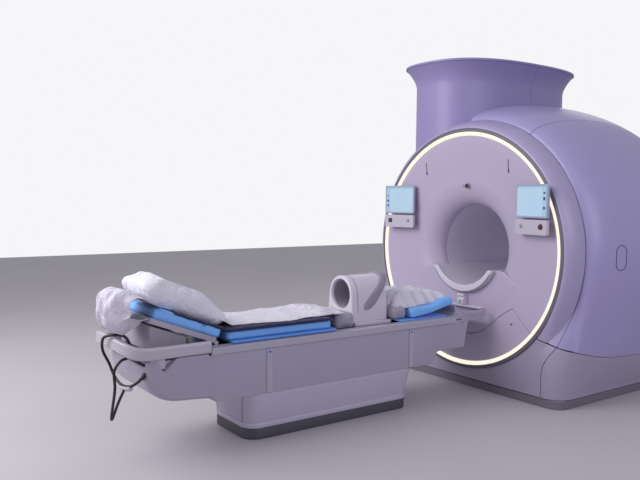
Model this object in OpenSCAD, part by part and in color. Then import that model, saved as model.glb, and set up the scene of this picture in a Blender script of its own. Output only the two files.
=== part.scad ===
// Magnetic resonance imaging scanner with its patient table.
// Origin: floor point below the magnet's centre. +Z up, bore axis along Y, table towards -Y.

/* [Gantry] */
// Height of the bore axis above the floor
iso_h = 1100; // [1060:5:1140]
// Clear diameter of the patient bore
bore_d = 700; // [680:5:710]
// Overall length of the gantry along the bore
gantry_len = 1700; // [1600:10:1760]
// Outer diameter of the light ring
ring_od = 1854; // [1820:2:1870]
// Width of the light ring's band
ring_band = 30; // [24:1:36]
// Diameter of the seam between front surround and body
seam_d = 2052; // [2030:2:2080]
// Largest diameter of the body
body_d = 2380; // [2340:5:2400]
// Width of the base over its side covers
base_w = 1880; // [1840:10:1920]
// Wall of the moulded covers
cover_t = 12; // [8:1:16]
// Height of the dark gantry plinth
plinth_h = 70; // [50:1:80]
// Visible gap between covers
seam_gap = 4; // [2:1:6]

/* [Magnet] */
// Outer diameter of the magnet vessel
vessel_d = 1700; // [1640:10:1740]
// Inner diameter of the magnet vessel
vessel_bore = 900; // [880:10:940]
// Length of the magnet vessel
vessel_len = 1300; // [1200:10:1320]
// Wall of the patient bore liner
liner_t = 8; // [6:1:12]

/* [Bridge] */
// Height of the flat bridge rims below the bore axis
deck_drop = 155; // [150:1:165]
// Inner width of the bridge trough
trough_w = 540; // [500:10:560]
// Depth of the bridge trough below its rims
trough_depth = 140; // [120:5:150]

/* [Shroud] */
// Height of the ceiling above the floor
ceiling_h = 2620; // [2560:10:2700]
// Width of the ceiling shroud
shroud_w = 870; // [800:10:900]
// Depth of the ceiling shroud along the bore
shroud_len = 1480; // [1400:10:1500]
// Place of the shroud's centre across the bore
shroud_x = -380; // [-420:5:-340]
// Flare of the shroud's edge under the ceiling
shroud_flare = 80; // [60:5:100]

/* [Displays] */
// Width of a display
disp_w = 300; // [280:5:310]
// Height of a display's screen housing
disp_h = 236; // [220:2:250]
// Height of the control box under a display
ctrl_h = 106; // [90:2:110]
// Distance of a display's centre from the bore axis
disp_x = 699; // [680:1:720]
// Height of a display's centre above the floor
disp_z = 1485; // [1470:5:1500]
// Angle by which a display is turned inwards
disp_turn = 9; // [4:1:12]
// Travel of the display buttons
button_travel = 4; // [3:0.5:5]

/* [Table] */
// Width of the table over its side rails
rail_w = 600; // [590:5:610]
// Width of the tabletop between the side rails
top_w = 504; // [490:2:506]
// Height of the tabletop's underside above the floor
top_z = 577; // [570:1:590]
// Height of the tabletop's rim
rim_h = 47; // [45:1:50]
// Height of the side rails
rail_h = 44; // [40:1:45]
// Width of the table's upper cover
upper_w = 580; // [560:5:590]
// Height of the upper cover's lower edge
upper_z = 300; // [290:5:320]
// Width of the table's base
base_tw = 490; // [470:5:500]
// Height of the table's dark plinth
tplinth_h = 70; // [50:1:80]
// Travel of the table lift
lift_travel = 370; // [300:5:372]

/* [Hidden] */
$fn = 96;

// Shared places of the gantry
front_y = -gantry_len / 2;
rear_y = gantry_len / 2;
ring_r = ring_od / 2;
rim_r = ring_r + 3;
seam_y = front_y + 150;
seam_r = seam_d / 2;
body_r = body_d / 2;
rear_r = 950;
base_front_y = front_y + 20;
base_corner = 110;
joint_deg = 42;
top_deg = 59;
panel_r = ring_r - ring_band - 0.3;
bore_r = bore_d / 2;
mouth_y = -vessel_len / 2;
liner_end = vessel_len / 2 - 10;
flare_r = bore_r + 210;
flare_y = mouth_y - 150;
panel_y = front_y + 14;
lower_panel_r = 690;
deck_z = iso_h - deck_drop;
fit = 0.3;
turret_d = 400;
turret_x = -300;
turret_y = -150;
turret_top = ceiling_h - 220;
vent_d = 220;
reach = 1.4 * body_r;

// Shared places of the table
base_y0 = -2937;
base_y1 = -1610;
upper_y0 = -3180;
upper_y1 = -1430;
rail_y0 = -3211;
rail_y1 = -1200;
block_y1 = -1058;
shroud_y = front_y + 10 + shroud_len / 2;
cover_y0 = -3610;
nose_y = front_y - 12;
top_y0 = -3640;
top_y1 = -1149;
lower_z = upper_z - 3;
frame_top = top_z - fit;
tray_z = top_z + 14;
handle_z = top_z + 50;
rail_top = top_z + rim_h;
slip = 0.08;
col_w = 220;
col_y = -2290;
mid_w = base_tw - 32;
mid_top = top_z - 37;
dish_half = top_w / 2 - 12;
dish_deep = rim_h - 14;
dish_r = (dish_half * dish_half + dish_deep * dish_deep) / (2 * dish_deep);
// Height at which a flat piece of width w rests on the hollow tabletop
function on_tray(w) = w < 2 * dish_half ? tray_z + dish_r - sqrt(dish_r * dish_r - w * w / 4) + fit : rail_top + fit;
mat_z = on_tray(542);
mat_t = 16;
seat_t = 60;
sheet_t = 34;
back_y = -3122;
back_z = 656;
back_deg = 21;
back_t = 62;
back_frame_t = 35;
coil_y0 = -2052;
coil_z = on_tray(340);
coil_base_t = 24;
leg_deg = 6;
leg_y = -1600;
leg_t = 66;
// Underside of the tilted backrest frame at a place along the table
function under_back(y) = back_z + (back_y - y) * tan(back_deg) - back_frame_t / cos(back_deg);

// Radius of the body's skin at a place along the bore
function skin_r(y) =
    y < seam_y ? rim_r + (seam_r - rim_r) * (y - front_y) / (seam_y - front_y)
    : y < 0 ? seam_r + (body_r - seam_r) * sqrt(max(0, 1 - pow(y / seam_y, 2)))
    : rear_r + (body_r - rear_r) * sqrt(max(0, 1 - pow(y / rear_y, 2)));
// Half width of the base at a place along the bore, with rounded corners
function base_half(y) = let(d = max(0, base_corner - (base_front_y_dist(y))))
    base_w / 2 - base_corner + sqrt(max(0, base_corner * base_corner - d * d));
function base_front_y_dist(y) = min(y - base_front_y, rear_y - 20 - y);
// Places of the body's sections
skin_ys = [front_y + 20.5, front_y + 40, front_y + 75, front_y + 110, seam_y, seam_y + 12, seam_y + 40,
    seam_y + 100, seam_y + 200, seam_y + 330, seam_y + 500, 0, 250, 450, 600, 710, 780, rear_y - 30, rear_y - 6];
core_ys = [front_y + 60, seam_y + 20, seam_y + 120, seam_y + 350, 0, 400, 650, rear_y - 60, rear_y - 14];

// A drawing in X and Z, drawn out along Y from y0 to y1
module along_y(y0, y1) {
    translate([0, y1, 0]) rotate([90, 0, 0]) linear_extrude(y1 - y0) children();
}

// A profile of radius and Y, turned about the bore axis
module about_bore() {
    translate([0, 0, iso_h]) rotate([-90, 0, 0]) rotate_extrude($fn = 180) children();
}

// One thin section of the gantry's skin, inset by t
module skin_slice(y, t, n) {
    along_y(y - 0.05, y + 0.05) hull() {
        translate([0, iso_h]) circle(skin_r(y) - t, $fn = n);
        translate([-base_half(y) + t, plinth_h]) square([2 * (base_half(y) - t), 20]);
    }
}

// The gantry's whole skin as a solid, lofted from section to section
module skin_loft(ys, t, n) {
    for (i = [0 : len(ys) - 2]) hull() {
        skin_slice(ys[i], t, n);
        skin_slice(ys[i + 1], t, n);
    }
}

// The body's shell, open at the bottom
module skin_shell() {
    difference() {
        skin_loft(skin_ys, 0, 64);
        skin_loft(core_ys, cover_t + 6, 36);
        translate([-1300, front_y - 1, -300]) cube([2600, gantry_len + 2, plinth_h + 300]);
        translate([0, front_y - 1, iso_h]) rotate([-90, 0, 0]) cylinder(r = panel_r + 31, h = gantry_len + 2);
    }
}

// Side view of the parting between base covers and upper covers, raised by d
module parting(d) {
    rotate([90, 0, 90]) translate([0, 0, -1300]) linear_extrude(2600)
        polygon([[front_y - 10, 470 + d], [seam_y, 440 + d], [-550, 382 + d], [-380, 347 + d], [-100, 322 + d],
            [rear_y + 10, 310 + d], [rear_y + 10, -10], [front_y - 10, -10]]);
}

// Wedge below the two lower seams of the front, pulled in by g
module lower_wedge(g) {
    along_y(front_y - 200, rear_y + 10) polygon([[0, iso_h - g],
        [reach * cos(joint_deg), iso_h - reach * sin(joint_deg) - g], [reach, iso_h - 2 * reach],
        [-reach, iso_h - 2 * reach], [-reach * cos(joint_deg), iso_h - reach * sin(joint_deg) - g]]);
}

// Region below the seam between front surround and base, pulled in by g
module front_low(g) {
    along_y(front_y - 5, seam_y - 1) polygon([[-690, 505 - g], [690, 505 - g], [880, 447 - g], [1300, 320 - g],
        [1300, 0], [-1300, 0], [-1300, 320 - g], [-880, 447 - g]]);
}

module slab(y0, y1, x0, x1) {
    translate([x0, y0, 0]) cube([x1 - x0, y1 - y0, 3000]);
}

module gantry_plinth() {
    inset = 10;
    color("#2c2a33") difference() {
        linear_extrude(plinth_h - fit) offset(base_corner - inset, $fn = 64)
            translate([-base_w / 2 + base_corner, base_front_y + base_corner])
                square([base_w - 2 * base_corner, gantry_len - 40 - 2 * base_corner]);
        translate([-base_w / 2 + 120, base_front_y + 120, 8]) cube([base_w - 240, gantry_len - 280, plinth_h + 2]);
    }
}

// Base cover under the ring, between the two corner seams
module base_cover_front() {
    corner_x = base_w / 2 - 150;
    color("#d5d2d8") intersection() {
        skin_shell();
        front_low(seam_gap / 2);
        slab(front_y, seam_y - 1, -corner_x, corner_x);
    }
}

// Base cover of one side, from the corner seam to the rear
module base_side(side) {
    corner_x = base_w / 2 - 150 + seam_gap;
    color("#d3d0d7") intersection() {
        skin_shell();
        mirror([side < 0 ? 1 : 0, 0, 0]) union() {
            intersection() {
                slab(front_y, seam_y - 1, corner_x, 1300);
                front_low(seam_gap / 2);
            }
            intersection() {
                slab(seam_y - 1.1, rear_y - 5, 0.5, 1300);
                parting(-seam_gap / 2);
            }
        }
    }
}

// Side cover between the parting, the top cover and the front surround
module side_cover(side) {
    color("#dad7de") difference() {
        intersection() {
            skin_shell();
            mirror([side < 0 ? 1 : 0, 0, 0]) slab(seam_y + seam_gap / 2, rear_y - 5, 0, 1300);
        }
        parting(seam_gap / 2);
        top_region(seam_gap / 2);
    }
}

// Region of the top cover, widened by g
module top_region(g) {
    along_y(front_y, rear_y + 1) polygon([[0, iso_h], [reach * cos(top_deg) + g, iso_h + reach * sin(top_deg)],
        [-reach * cos(top_deg) - g, iso_h + reach * sin(top_deg)]]);
}

module top_cover() {
    color("#dedbe2") difference() {
        intersection() {
            skin_shell();
            slab(seam_y + seam_gap / 2, rear_y - 5, -1300, 1300);
            top_region(-seam_gap / 2);
        }
        translate([turret_x, turret_y, 1700]) cylinder(d = turret_d + 40, h = 700, $fn = 48);
    }
}

// Flared surround of the light ring, above the two lower seams
module front_surround() {
    color("#d8d5dc") {
        difference() {
            intersection() {
                skin_shell();
                slab(front_y, seam_y - seam_gap / 2, -1300, 1300);
            }
            front_low(-seam_gap / 2);
        }
    }
}

// Section of the dish between ring and bore: inner or outer side, moved back by t
function flare_pts(t) = [for (a = [0 : 9 : 90]) [flare_r - (flare_r - bore_r - t) * cos(a), mouth_y - (mouth_y - flare_y - t) * sin(a)]];

module dish() {
    about_bore() polygon(concat(flare_pts(0), [[panel_r, panel_y], [panel_r, panel_y + cover_t]],
        [for (i = [10 : -1 : 0]) flare_pts(cover_t)[i]]));
}

// Round slots in the front panel for microphones, and the window's seat
module panel_cuts() {
    for (s = [-1, 1]) translate([s * 433, front_y - 1, iso_h + 600]) {
        cube([9, 60, 92]);
        for (z = [0, 92]) translate([4.5, 0, z]) rotate([-90, 0, 0]) cylinder(d = 9, h = 60, $fn = 24);
    }
    translate([0, front_y - 1, iso_h + 500]) rotate([-90, 0, 0]) cylinder(d = 44, h = 45, $fn = 48);
}

module lower_sector(g) {
    difference() {
        translate([0, front_y - 1, iso_h]) rotate([-90, 0, 0]) difference() {
            cylinder(r = panel_r + 1, h = 60);
            translate([0, 0, -1]) cylinder(r = lower_panel_r + g, h = 62);
        }
        difference() {
            translate([-1100, front_y - 2, 0]) cube([2200, 70, 2300]);
            lower_wedge(g);
        }
    }
}

module front_panel() {
    color("#cfccd8") difference() {
        dish();
        lower_sector(-seam_gap / 4);
        panel_cuts();
        bridge_envelope(fit);
    }
}

module lower_front_panel() {
    color("#cbc8d4") intersection() {
        dish();
        lower_sector(seam_gap / 4);
    }
}

module ring_section() {
    about_bore() polygon([[ring_r - ring_band, front_y + 12], [ring_r, front_y], [ring_r, front_y + 22],
        [ring_r - ring_band, front_y + 30]]);
}

module light_ring_upper() {
    color("#fff6dc") difference() {
        ring_section();
        lower_wedge(-10);
    }
}

module light_ring_lower() {
    color("#fff6dc") intersection() {
        ring_section();
        lower_wedge(10);
    }
}

module rear_panel() {
    edge_r = skin_r(rear_y - 6) - 4;
    color("#d0cdd6") difference() {
        about_bore() polygon([[bore_r + liner_t + fit, liner_end], [bore_r + liner_t + 60, rear_y - 60],
            [bore_r + 160, rear_y - 20], [edge_r - 60, rear_y - 5.6], [edge_r, rear_y - 5.6], [edge_r, rear_y],
            [bore_r + 150, rear_y - 8], [bore_r + 40, rear_y - 60], [bore_r, liner_end]]);
        bridge_envelope(fit);
    }
}

module bore_liner() {
    color("#b9b6c2") about_bore() translate([bore_r, mouth_y + fit]) square([liner_t, liner_end - mouth_y - 2 * fit]);
}

module gradient_coil() {
    color("#c8a25a") about_bore() translate([bore_r + liner_t + fit, -vessel_len / 2 + 30])
        square([vessel_bore / 2 - bore_r - liner_t - 2 * fit, vessel_len - 60]);
}

// Magnet vessel with its turret on top and four feet
module magnet_vessel() {
    color("#a9adb3") union() {
        difference() {
            union() {
                translate([0, -vessel_len / 2, iso_h]) rotate([-90, 0, 0]) cylinder(d = vessel_d, h = vessel_len);
                translate([turret_x, turret_y, iso_h + 600]) cylinder(d = turret_d, h = turret_top - iso_h - 600);
            }
            translate([0, -vessel_len / 2 - 1, iso_h]) rotate([-90, 0, 0]) cylinder(d = vessel_bore, h = vessel_len + 2);
        }
        difference() {
            for (sx = [-1, 1], sy = [-1, 1])
                translate([sx * 520 - 70, sy * 430 - 90, 8 + fit]) cube([140, 180, 600]);
            translate([0, -vessel_len, iso_h]) rotate([-90, 0, 0]) cylinder(d = vessel_d - 20, h = 2 * vessel_len);
        }
    }
}

// Pipe that leads cold gas from the turret up through the ceiling
module vent_pipe() {
    color("#c0c4ca") difference() {
        union() {
            translate([turret_x, turret_y, turret_top + fit]) cylinder(d = vent_d, h = ceiling_h - turret_top - fit);
            translate([turret_x, turret_y, turret_top + fit]) cylinder(d = vent_d + 80, h = 20);
        }
        translate([turret_x, turret_y, turret_top]) cylinder(d = vent_d - 16, h = 600);
    }
}

// Section of the bridge in X and Z: a round-bottomed trough between flat rims
module bridge_section(g) {
    intersection() {
        translate([0, iso_h]) circle(bore_r - fit + g, $fn = 128);
        translate([-bore_r, 0]) square([2 * bore_r, deck_z + g]);
    }
}

module bridge_envelope(g) {
    along_y(front_y - 1, rear_y + 1) bridge_section(g);
}

// Bridge that carries the tabletop through the bore, with a lip at the front
module bridge() {
    trough_r = (trough_w * trough_w / 4 + trough_depth * trough_depth) / (2 * trough_depth);
    color("#bdbac6") difference() {
        along_y(front_y, 700) bridge_section(0);
        translate([0, front_y - 1, deck_z - trough_depth + trough_r]) rotate([-90, 0, 0])
            cylinder(r = trough_r, h = 1600);
        along_y(front_y + 14, front_y + 20) difference() {
            bridge_section(2);
            translate([0, iso_h]) circle(bore_r - 8, $fn = 128);
        }
    }
}

// Hook under the bridge that the table docks on
module docking_latch() {
    z0 = deck_z - 305;
    color("#c6c3cb") difference() {
        translate([0, front_y + 58 - fit, z0]) rotate([90, 0, 0]) linear_extrude(58) union() {
            translate([-32, 0]) square([64, 96]);
            translate([-210, -4]) square([420, 14]);
        }
        translate([0, front_y - 1, z0 + 34]) rotate([-90, 0, 0]) cylinder(d = 22, h = 30, $fn = 32);
        translate([-34, front_y - 1, z0 + 62]) cube([68, 26, 16]);
        about_bore() polygon(concat(flare_pts(-fit), [[panel_r, panel_y - fit], [panel_r, 100], [bore_r + fit, 100]]));
    }
}

// Ceiling shroud: an upright column of rounded plan that flares at the top
function oval(a, b, n) = [for (i = [0 : n - 1]) let(c = cos(360 * i / n), t = sin(360 * i / n))
    [a * sign(c) * pow(abs(c), 0.77), b * sign(t) * pow(abs(t), 0.77)]];

module shroud_oval(g, z0, z1, grow = 1) {
    translate([shroud_x, shroud_y, z0]) linear_extrude(z1 - z0, scale = grow, slices = 1, segments = 0)
        polygon(oval(shroud_w / 2 + g, shroud_len / 2 + g, 80));
}

module shroud_body() {
    z_flare = ceiling_h - 170;
    difference() {
        union() {
            shroud_oval(0, 1700, z_flare + 1);
            shroud_oval(0, z_flare, ceiling_h - 20, [1 + 2 * shroud_flare / shroud_w, 1 + 2 * shroud_flare / shroud_len]);
        }
        shroud_oval(-cover_t, 1600, ceiling_h);
        body_top(fit);
    }
}

// Space taken by the body under the shroud
module body_top(g) {
    ys = [front_y, seam_y, seam_y + 12, seam_y + 40, seam_y + 100, seam_y + 200, seam_y + 330, seam_y + 500, 0, 250,
        450, 600, 710, 780];
    about_bore() polygon(concat([[0, front_y]], [for (y = ys) [skin_r(y) + g, y]], [[0, 780]]));
}

module shroud_front() {
    color("#cdcbe0") intersection() {
        shroud_body();
        translate([-1300, front_y - 100, 0]) cube([2600, shroud_y - front_y + 100 - seam_gap / 2, ceiling_h]);
    }
}

module shroud_rear() {
    color("#cdcbe0") intersection() {
        shroud_body();
        translate([-1300, shroud_y + seam_gap / 2, 0]) cube([2600, 1500, ceiling_h]);
    }
}

module shroud_flange() {
    color("#dddbe6") difference() {
        shroud_oval(shroud_flare + 12, ceiling_h - 20 + fit, ceiling_h);
        shroud_oval(-40, ceiling_h - 30, ceiling_h + 1);
    }
}

// Moves a display's own drawing to its place: side is -1 for left, 1 for right
module at_display(side) {
    translate([side * disp_x, front_y - 40, disp_z]) rotate([0, 0, side * -disp_turn]) children();
}

// Upright plate with rounded corners, its front at y = y0
module plate(w, h, y0, y1, r) {
    translate([0, y1, 0]) rotate([90, 0, 0]) linear_extrude(y1 - y0)
        offset(r, $fn = 32) square([w - 2 * r, h - 2 * r], center = true);
}

// Housing of a screen with the arm at its back that stands on the front panel
module display_housing(side) {
    color("#c9c9d1") {
        at_display(side) difference() {
            plate(disp_w, disp_h, 0, 26, 12);
            plate(disp_w - 26, disp_h - 26, -1, 4, 4);
        }
        difference() {
            at_display(side) translate([-70, 25, -disp_h / 2 + 2]) cube([140, 130, 120]);
            about_bore() polygon([[panel_r + 60, front_y - 200], [panel_r + 60, 100], [0, 100], [0, -400],
                [bore_r, mouth_y], [flare_r, flare_y - fit], [panel_r, panel_y - fit],
                [panel_r + 10, front_y - 200]]);
        }
    }
}

module display_screen(side) {
    color("#a9d4ee") at_display(side) plate(disp_w - 27, disp_h - 27, 1.2, 4 - fit, 4);
}

ctrl_drop = disp_h / 2 + 14 + ctrl_h / 2;
button_x = 98;

module control_box(side) {
    color("#cfccd6") at_display(side) {
        difference() {
            translate([0, 0, -ctrl_drop]) plate(disp_w - 8, ctrl_h, 0, 26, 14);
            for (x = [-button_x, button_x]) translate([x, -1, -ctrl_drop + 4]) rotate([-90, 0, 0])
                cylinder(d = x * side > 0 ? 40 : 26, h = 20);
        }
        translate([-60, 6, -disp_h / 2 - 14 - fit]) cube([120, 14, 14]);
    }
}

// Push button on the side of the box nearer to the bore
module push_button(side) {
    color("#8f8e97") at_display(side) translate([-side * button_x, -button_travel - 3, -ctrl_drop + 4])
        rotate([-90, 0, 0]) cylinder(d = 25, h = 15);
}

// Stop button on the outer side of the box
module stop_button(side) {
    color("#7d4a55") at_display(side) translate([side * button_x, -button_travel - 7, -ctrl_drop + 4])
        rotate([-90, 0, 0]) union() {
            cylinder(d1 = 32, d2 = 39, h = 5);
            translate([0, 0, 5]) cylinder(d = 39, h = 14);
        }
}

// Table

// Upright block with rounded corners, from y0 to y1 and z0 to z1
module block(w, y0, y1, z0, z1, r) {
    translate([0, (y0 + y1) / 2, z0]) linear_extrude(z1 - z0) offset(r, $fn = 40)
        square([w - 2 * r, y1 - y0 - 2 * r], center = true);
}

module table_plinth() {
    color("#2c2a33") difference() {
        block(base_tw, base_y0, base_y1, 0, tplinth_h - fit, 100);
        block(base_tw - 120, base_y0 + 60, base_y1 - 60, 12, tplinth_h, 60);
    }
}

// Fixed lower cover with a lip over the plinth, a little wider towards the top
module lower_cover() {
    w = base_tw + 10;
    z0 = tplinth_h + 30;
    color("#c9c6d2") difference() {
        union() {
            block(w, base_y0 - 4, base_y1 + 4, tplinth_h, z0 + 2, 102);
            hull() {
                block(w - 16, base_y0, base_y1, z0, z0 + 1, 96);
                block(upper_w - 14, base_y0 - 20, base_y1 + 20, lower_z - 1, lower_z, 96);
            }
        }
        hull() {
            block(w - 44, base_y0 + 14, base_y1 - 14, tplinth_h - 1, z0, 80);
            block(upper_w - 42, base_y0 - 6, base_y1 + 6, lower_z, lower_z + 1, 80);
        }
    }
}

// Fixed outer tube of the lift
module lift_column() {
    color("#8d9097") difference() {
        block(col_w, col_y - col_w, col_y + col_w, 12, lower_z - 7, 10);
        block(col_w - 20, col_y - col_w + 10, col_y + col_w - 10, 24, lower_z, 6);
    }
}

// Middle tube of the lift, moving by half of the travel
module mid_column() {
    w = col_w - 20 - 2 * slip;
    color("#9ea1a8") difference() {
        union() {
            block(w, col_y - col_w + 10 + slip, col_y + col_w - 10 - slip, 30, mid_top, 8);
            block(mid_w - 16 - 2 * fit, base_y0 + 30 + fit, base_y1 - 30 - fit, mid_top - 8, mid_top, 88);
        }
        block(w - 20, col_y - col_w + 20 + slip, col_y + col_w - 20 - slip, 29, mid_top + 1, 4);
    }
}

// Middle shroud that fills the gap between lower and upper cover when the table is up
module middle_shroud() {
    z0 = lower_z - 30 - lift_travel / 2;
    color("#b7b4c0") difference() {
        block(mid_w, base_y0 + 22, base_y1 - 22, z0, mid_top, 92);
        block(mid_w - 16, base_y0 + 30, base_y1 - 30, z0 - 1, mid_top + 1, 84);
    }
}

module lift_ram() {
    w = col_w - 40 - 4 * slip;
    color("#b3b6bb") block(w, col_y - col_w + 20 + 2 * slip, col_y + col_w - 20 - 2 * slip, 60, top_z - 26, 6);
}

// Side view of the upper cover with its overhanging ends
module upper_cover() {
    w = upper_w;
    color("#c4c1cd") difference() {
        block(w, upper_y0, upper_y1, upper_z, frame_top, 30);
        block(w - 24, upper_y0 + 12, upper_y1 - 12, upper_z - 1, top_z - 26, 20);
        for (s = [-1, 1], y = [base_y0 + 99, base_y1 - 20]) translate([s * w / 2 - 4, y, upper_z - 1])
            cube([8, 44, 400]);
    }
}

// Cover of the free end: its belly rises and its end is rounded
module end_cover() {
    belly = [[cover_y0, frame_top - 24], [cover_y0, 515], [cover_y0 + 12, 465], [cover_y0 + 40, 415],
        [cover_y0 + 85, 368], [cover_y0 + 130, 345], [cover_y0 + 190, 334], [upper_y0 - fit, 322],
        [upper_y0 - fit, frame_top], [cover_y0 + 180, frame_top], [cover_y0 + 116, 534],
        [cover_y0 + 72, 520], [cover_y0 + 34, 546], [cover_y0 + 4, frame_top - 20]];
    color("#bcb9c4") {
        intersection() {
            rotate([90, 0, 90]) translate([0, 0, -upper_w / 2]) linear_extrude(upper_w) polygon(belly);
            block(upper_w, cover_y0, upper_y0 + 200, 200, 700, 70);
        }
        for (s = [-1, 1]) translate([s * (rail_w / 2 - 18) - 8, cover_y0 + 225, frame_top - 20])
            cube([16, 165, 20 + handle_z - 36 - frame_top]);
    }
}

// Cover of the gantry end: a block with a channel for the tabletop, and a tongue that reaches the gantry
module nose_cover() {
    side = [[upper_y1 + fit, upper_z + 2], [upper_y1 + 36, 372], [upper_y1 + 60, 383], [block_y1 - 60, 383],
        [block_y1 - 46, 388], [block_y1, top_z + 60], [rail_y1 + 50, top_z + 48], [rail_y1 + fit, top_z + rail_h],
        [rail_y1 + fit, frame_top], [upper_y1 + fit, frame_top]];
    color("#c1becb") difference() {
        union() {
            rotate([90, 0, 90]) translate([0, 0, -upper_w / 2]) linear_extrude(upper_w) polygon(side);
            translate([-upper_w / 2 + 8, block_y1 - 30, top_z - 32])
                cube([upper_w - 16, nose_y - block_y1 + 30, 100]);
        }
        translate([-top_w / 2 - 4, upper_y1 - 1, frame_top]) cube([top_w + 8, 800, 200]);
        translate([-upper_w / 2 + 16, upper_y1 - 1, 250]) cube([upper_w - 32, block_y1 - upper_y1 - 50, top_z - 276]);
    }
}

// Four upright strips at the corners of the upper cover, each with a round plug
module corner_strips() {
    color("#d8d6e0") for (s = [-1, 1], y = [base_y0 + 99, base_y1 - 20]) {
        mirror([s < 0 ? 1 : 0, 0, 0]) translate([upper_w / 2 - 4 + fit, y + 2, upper_z]) {
            cube([10, 40, frame_top - upper_z]);
            translate([10, 20, frame_top - upper_z - 22]) rotate([0, 90, 0]) cylinder(d = 18, h = 2, $fn = 48);
        }
    }
}

// Fixed rails along both sides of the tabletop
module side_rails() {
    color("#dedbe4") for (s = [-1, 1]) rotate([90, 0, 90])
        translate([0, 0, s > 0 ? top_w / 2 + 4 : -rail_w / 2]) linear_extrude(rail_w / 2 - top_w / 2 - 4)
            polygon([[rail_y0, top_z], [rail_y1, top_z], [rail_y1, top_z + rail_h], [rail_y0 + 6, top_z + rail_h],
                [rail_y0, top_z + rail_h - 6]]);
}

// Centre line of the end handle: a flat U round the free end
function handle_pt(a) = let(hx = rail_w / 2 - 18, ly = 170)
    a < 0 ? [hx, a, 0] : a > 180 ? [-hx, 180 - a, 0]
    : [hx * sign(cos(a)) * pow(abs(cos(a)), 0.6), -ly * pow(abs(sin(a)), 0.6), 46 * pow(sin(a), 2)];

module end_handle() {
    y_turn = cover_y0 + 60;
    y_end = rail_y0 - fit - y_turn;
    steps = [for (a = [0 : 12 : 180]) a];
    pts = concat([[rail_w / 2 - 18, y_end, 0], [rail_w / 2 - 18, 150, 0]], [for (a = steps) handle_pt(a)],
        [[-rail_w / 2 + 18, 150, 0], [-rail_w / 2 + 18, y_end, 0]]);
    gap = [[cover_y0 + 6, frame_top - 2], [cover_y0 + 37, 550], [cover_y0 + 72, 525], [cover_y0 + 115, 539],
        [cover_y0 + 167, frame_top - 2]];
    color("#d9d7de") union() {
        translate([0, y_turn, handle_z]) tube_along(pts, 18, 36, 12);
        rotate([90, 0, 90]) translate([0, 0, -262]) linear_extrude(524) polygon(gap);
        for (s = [-1, 1]) translate([s * 270 - 12, cover_y0 + 20, frame_top - 20]) cube([24, 110, 50]);
    }
}

// Upright oval tube along points: half width a, half height b, n sides
module tube_along(pts, a, b, n) {
    m = len(pts);
    rings = [for (i = [0 : m - 1]) let(p = pts[i], q = pts[max(i - 1, 0)], r = pts[min(i + 1, m - 1)],
        t = (r - q) / norm(r - q), s = cross(t, [0, 0, 1]) / norm(cross(t, [0, 0, 1])), u = cross(s, t))
        for (k = [0 : n - 1]) p + s * a * cos(360 * k / n) + u * b * sin(360 * k / n)];
    faces = concat([[for (k = [n - 1 : -1 : 0]) k]],
        [for (i = [0 : m - 2], k = [0 : n - 1]) let(k2 = (k + 1) % n)
            [i * n + k, i * n + k2, (i + 1) * n + k2, (i + 1) * n + k]],
        [[for (k = [0 : n - 1]) (m - 1) * n + k]]);
    polyhedron(rings, faces, convexity = 6);
}

module tabletop() {
    color("#dcd9e3") {
        along_y(top_y0 + 60, top_y1) tray_section(top_w / 2);
        rotate([90, 0, 90]) translate([0, 0, -top_w / 2 + 4]) linear_extrude(top_w - 8) polygon([[top_y1 - 90, top_z + 2],
            [top_y1 - 1, top_z + 2], [top_y1 + 4, top_z + 66], [top_y1 - 4, top_z + 116],
            [top_y1 - 14, top_z + 116], [top_y1 - 12, top_z + 66]]);
    }
}

// Tabletop section: flat underside, raised rims and a shallow hollow
module tray_section(half) {
    difference() {
        translate([-half, top_z]) square([2 * half, rim_h]);
        intersection() {
            translate([0, tray_z + dish_r]) circle(dish_r, $fn = 400);
            translate([-half + 12, 0]) square([2 * half - 24, 2000]);
        }
        for (s = [-1, 1]) translate([s * half, top_z]) rotate(45) square(9, center = true);
    }
}

// Padded slab with rounded corners and softened edges
module pad(w, y0, y1, z0, z1, r) {
    hull() {
        block(w, y0, y1, z0 + 0.6 * r, z1 - 0.6 * r, 1.6 * r);
        block(w - r, y0 + r / 2, y1 - r / 2, z0, z1, r);
    }
}

module under_mat() {
    color("#6a9ae6") pad(550, -3067, -2275, mat_z, mat_z + mat_t, 8);
}

module seat_mattress() {
    z0 = mat_z + mat_t + fit;
    color("#5f93dc") pad(520, -3094, -2300, z0, z0 + seat_t, 14);
}

module fitted_sheet() {
    z0 = mat_z + mat_t + seat_t + 2 * fit;
    color("#26235a") pad(526, -3090, -2324, z0, z0 + sheet_t, 12);
}

// Places a drawing in the backrest's tilted frame
module on_back() {
    translate([0, back_y, back_z]) rotate([-back_deg, 0, 0]) children();
}

module backrest_frame() {
    bar_z = on_tray(480) + 14;
    color("#d9d6dd") {
        on_back() translate([-240, -520, -back_frame_t]) cube([480, 500, back_frame_t - fit]);
        translate([-240, back_y - 30, bar_z]) rotate([0, 90, 0]) cylinder(d = 28, h = 480, $fn = 48);
    }
}

module backrest_pad() {
    color("#5f93dc") on_back() pad(520, -540, 0, 0, back_t, 14);
}

// Block that props the backrest
module foot_box() {
    z0 = on_tray(440);
    color("#a9a69c") rotate([90, 0, 90]) translate([0, 0, -220]) linear_extrude(440)
        polygon([[-3560, z0], [-3330, z0], [-3330, under_back(-3330) - fit], [-3560, under_back(-3560) - fit]]);
}

module pillow() {
    color("#f2f2f6") on_back() pad(470, -545, -10, back_t + fit, back_t + fit + 110, 44);
}

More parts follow.
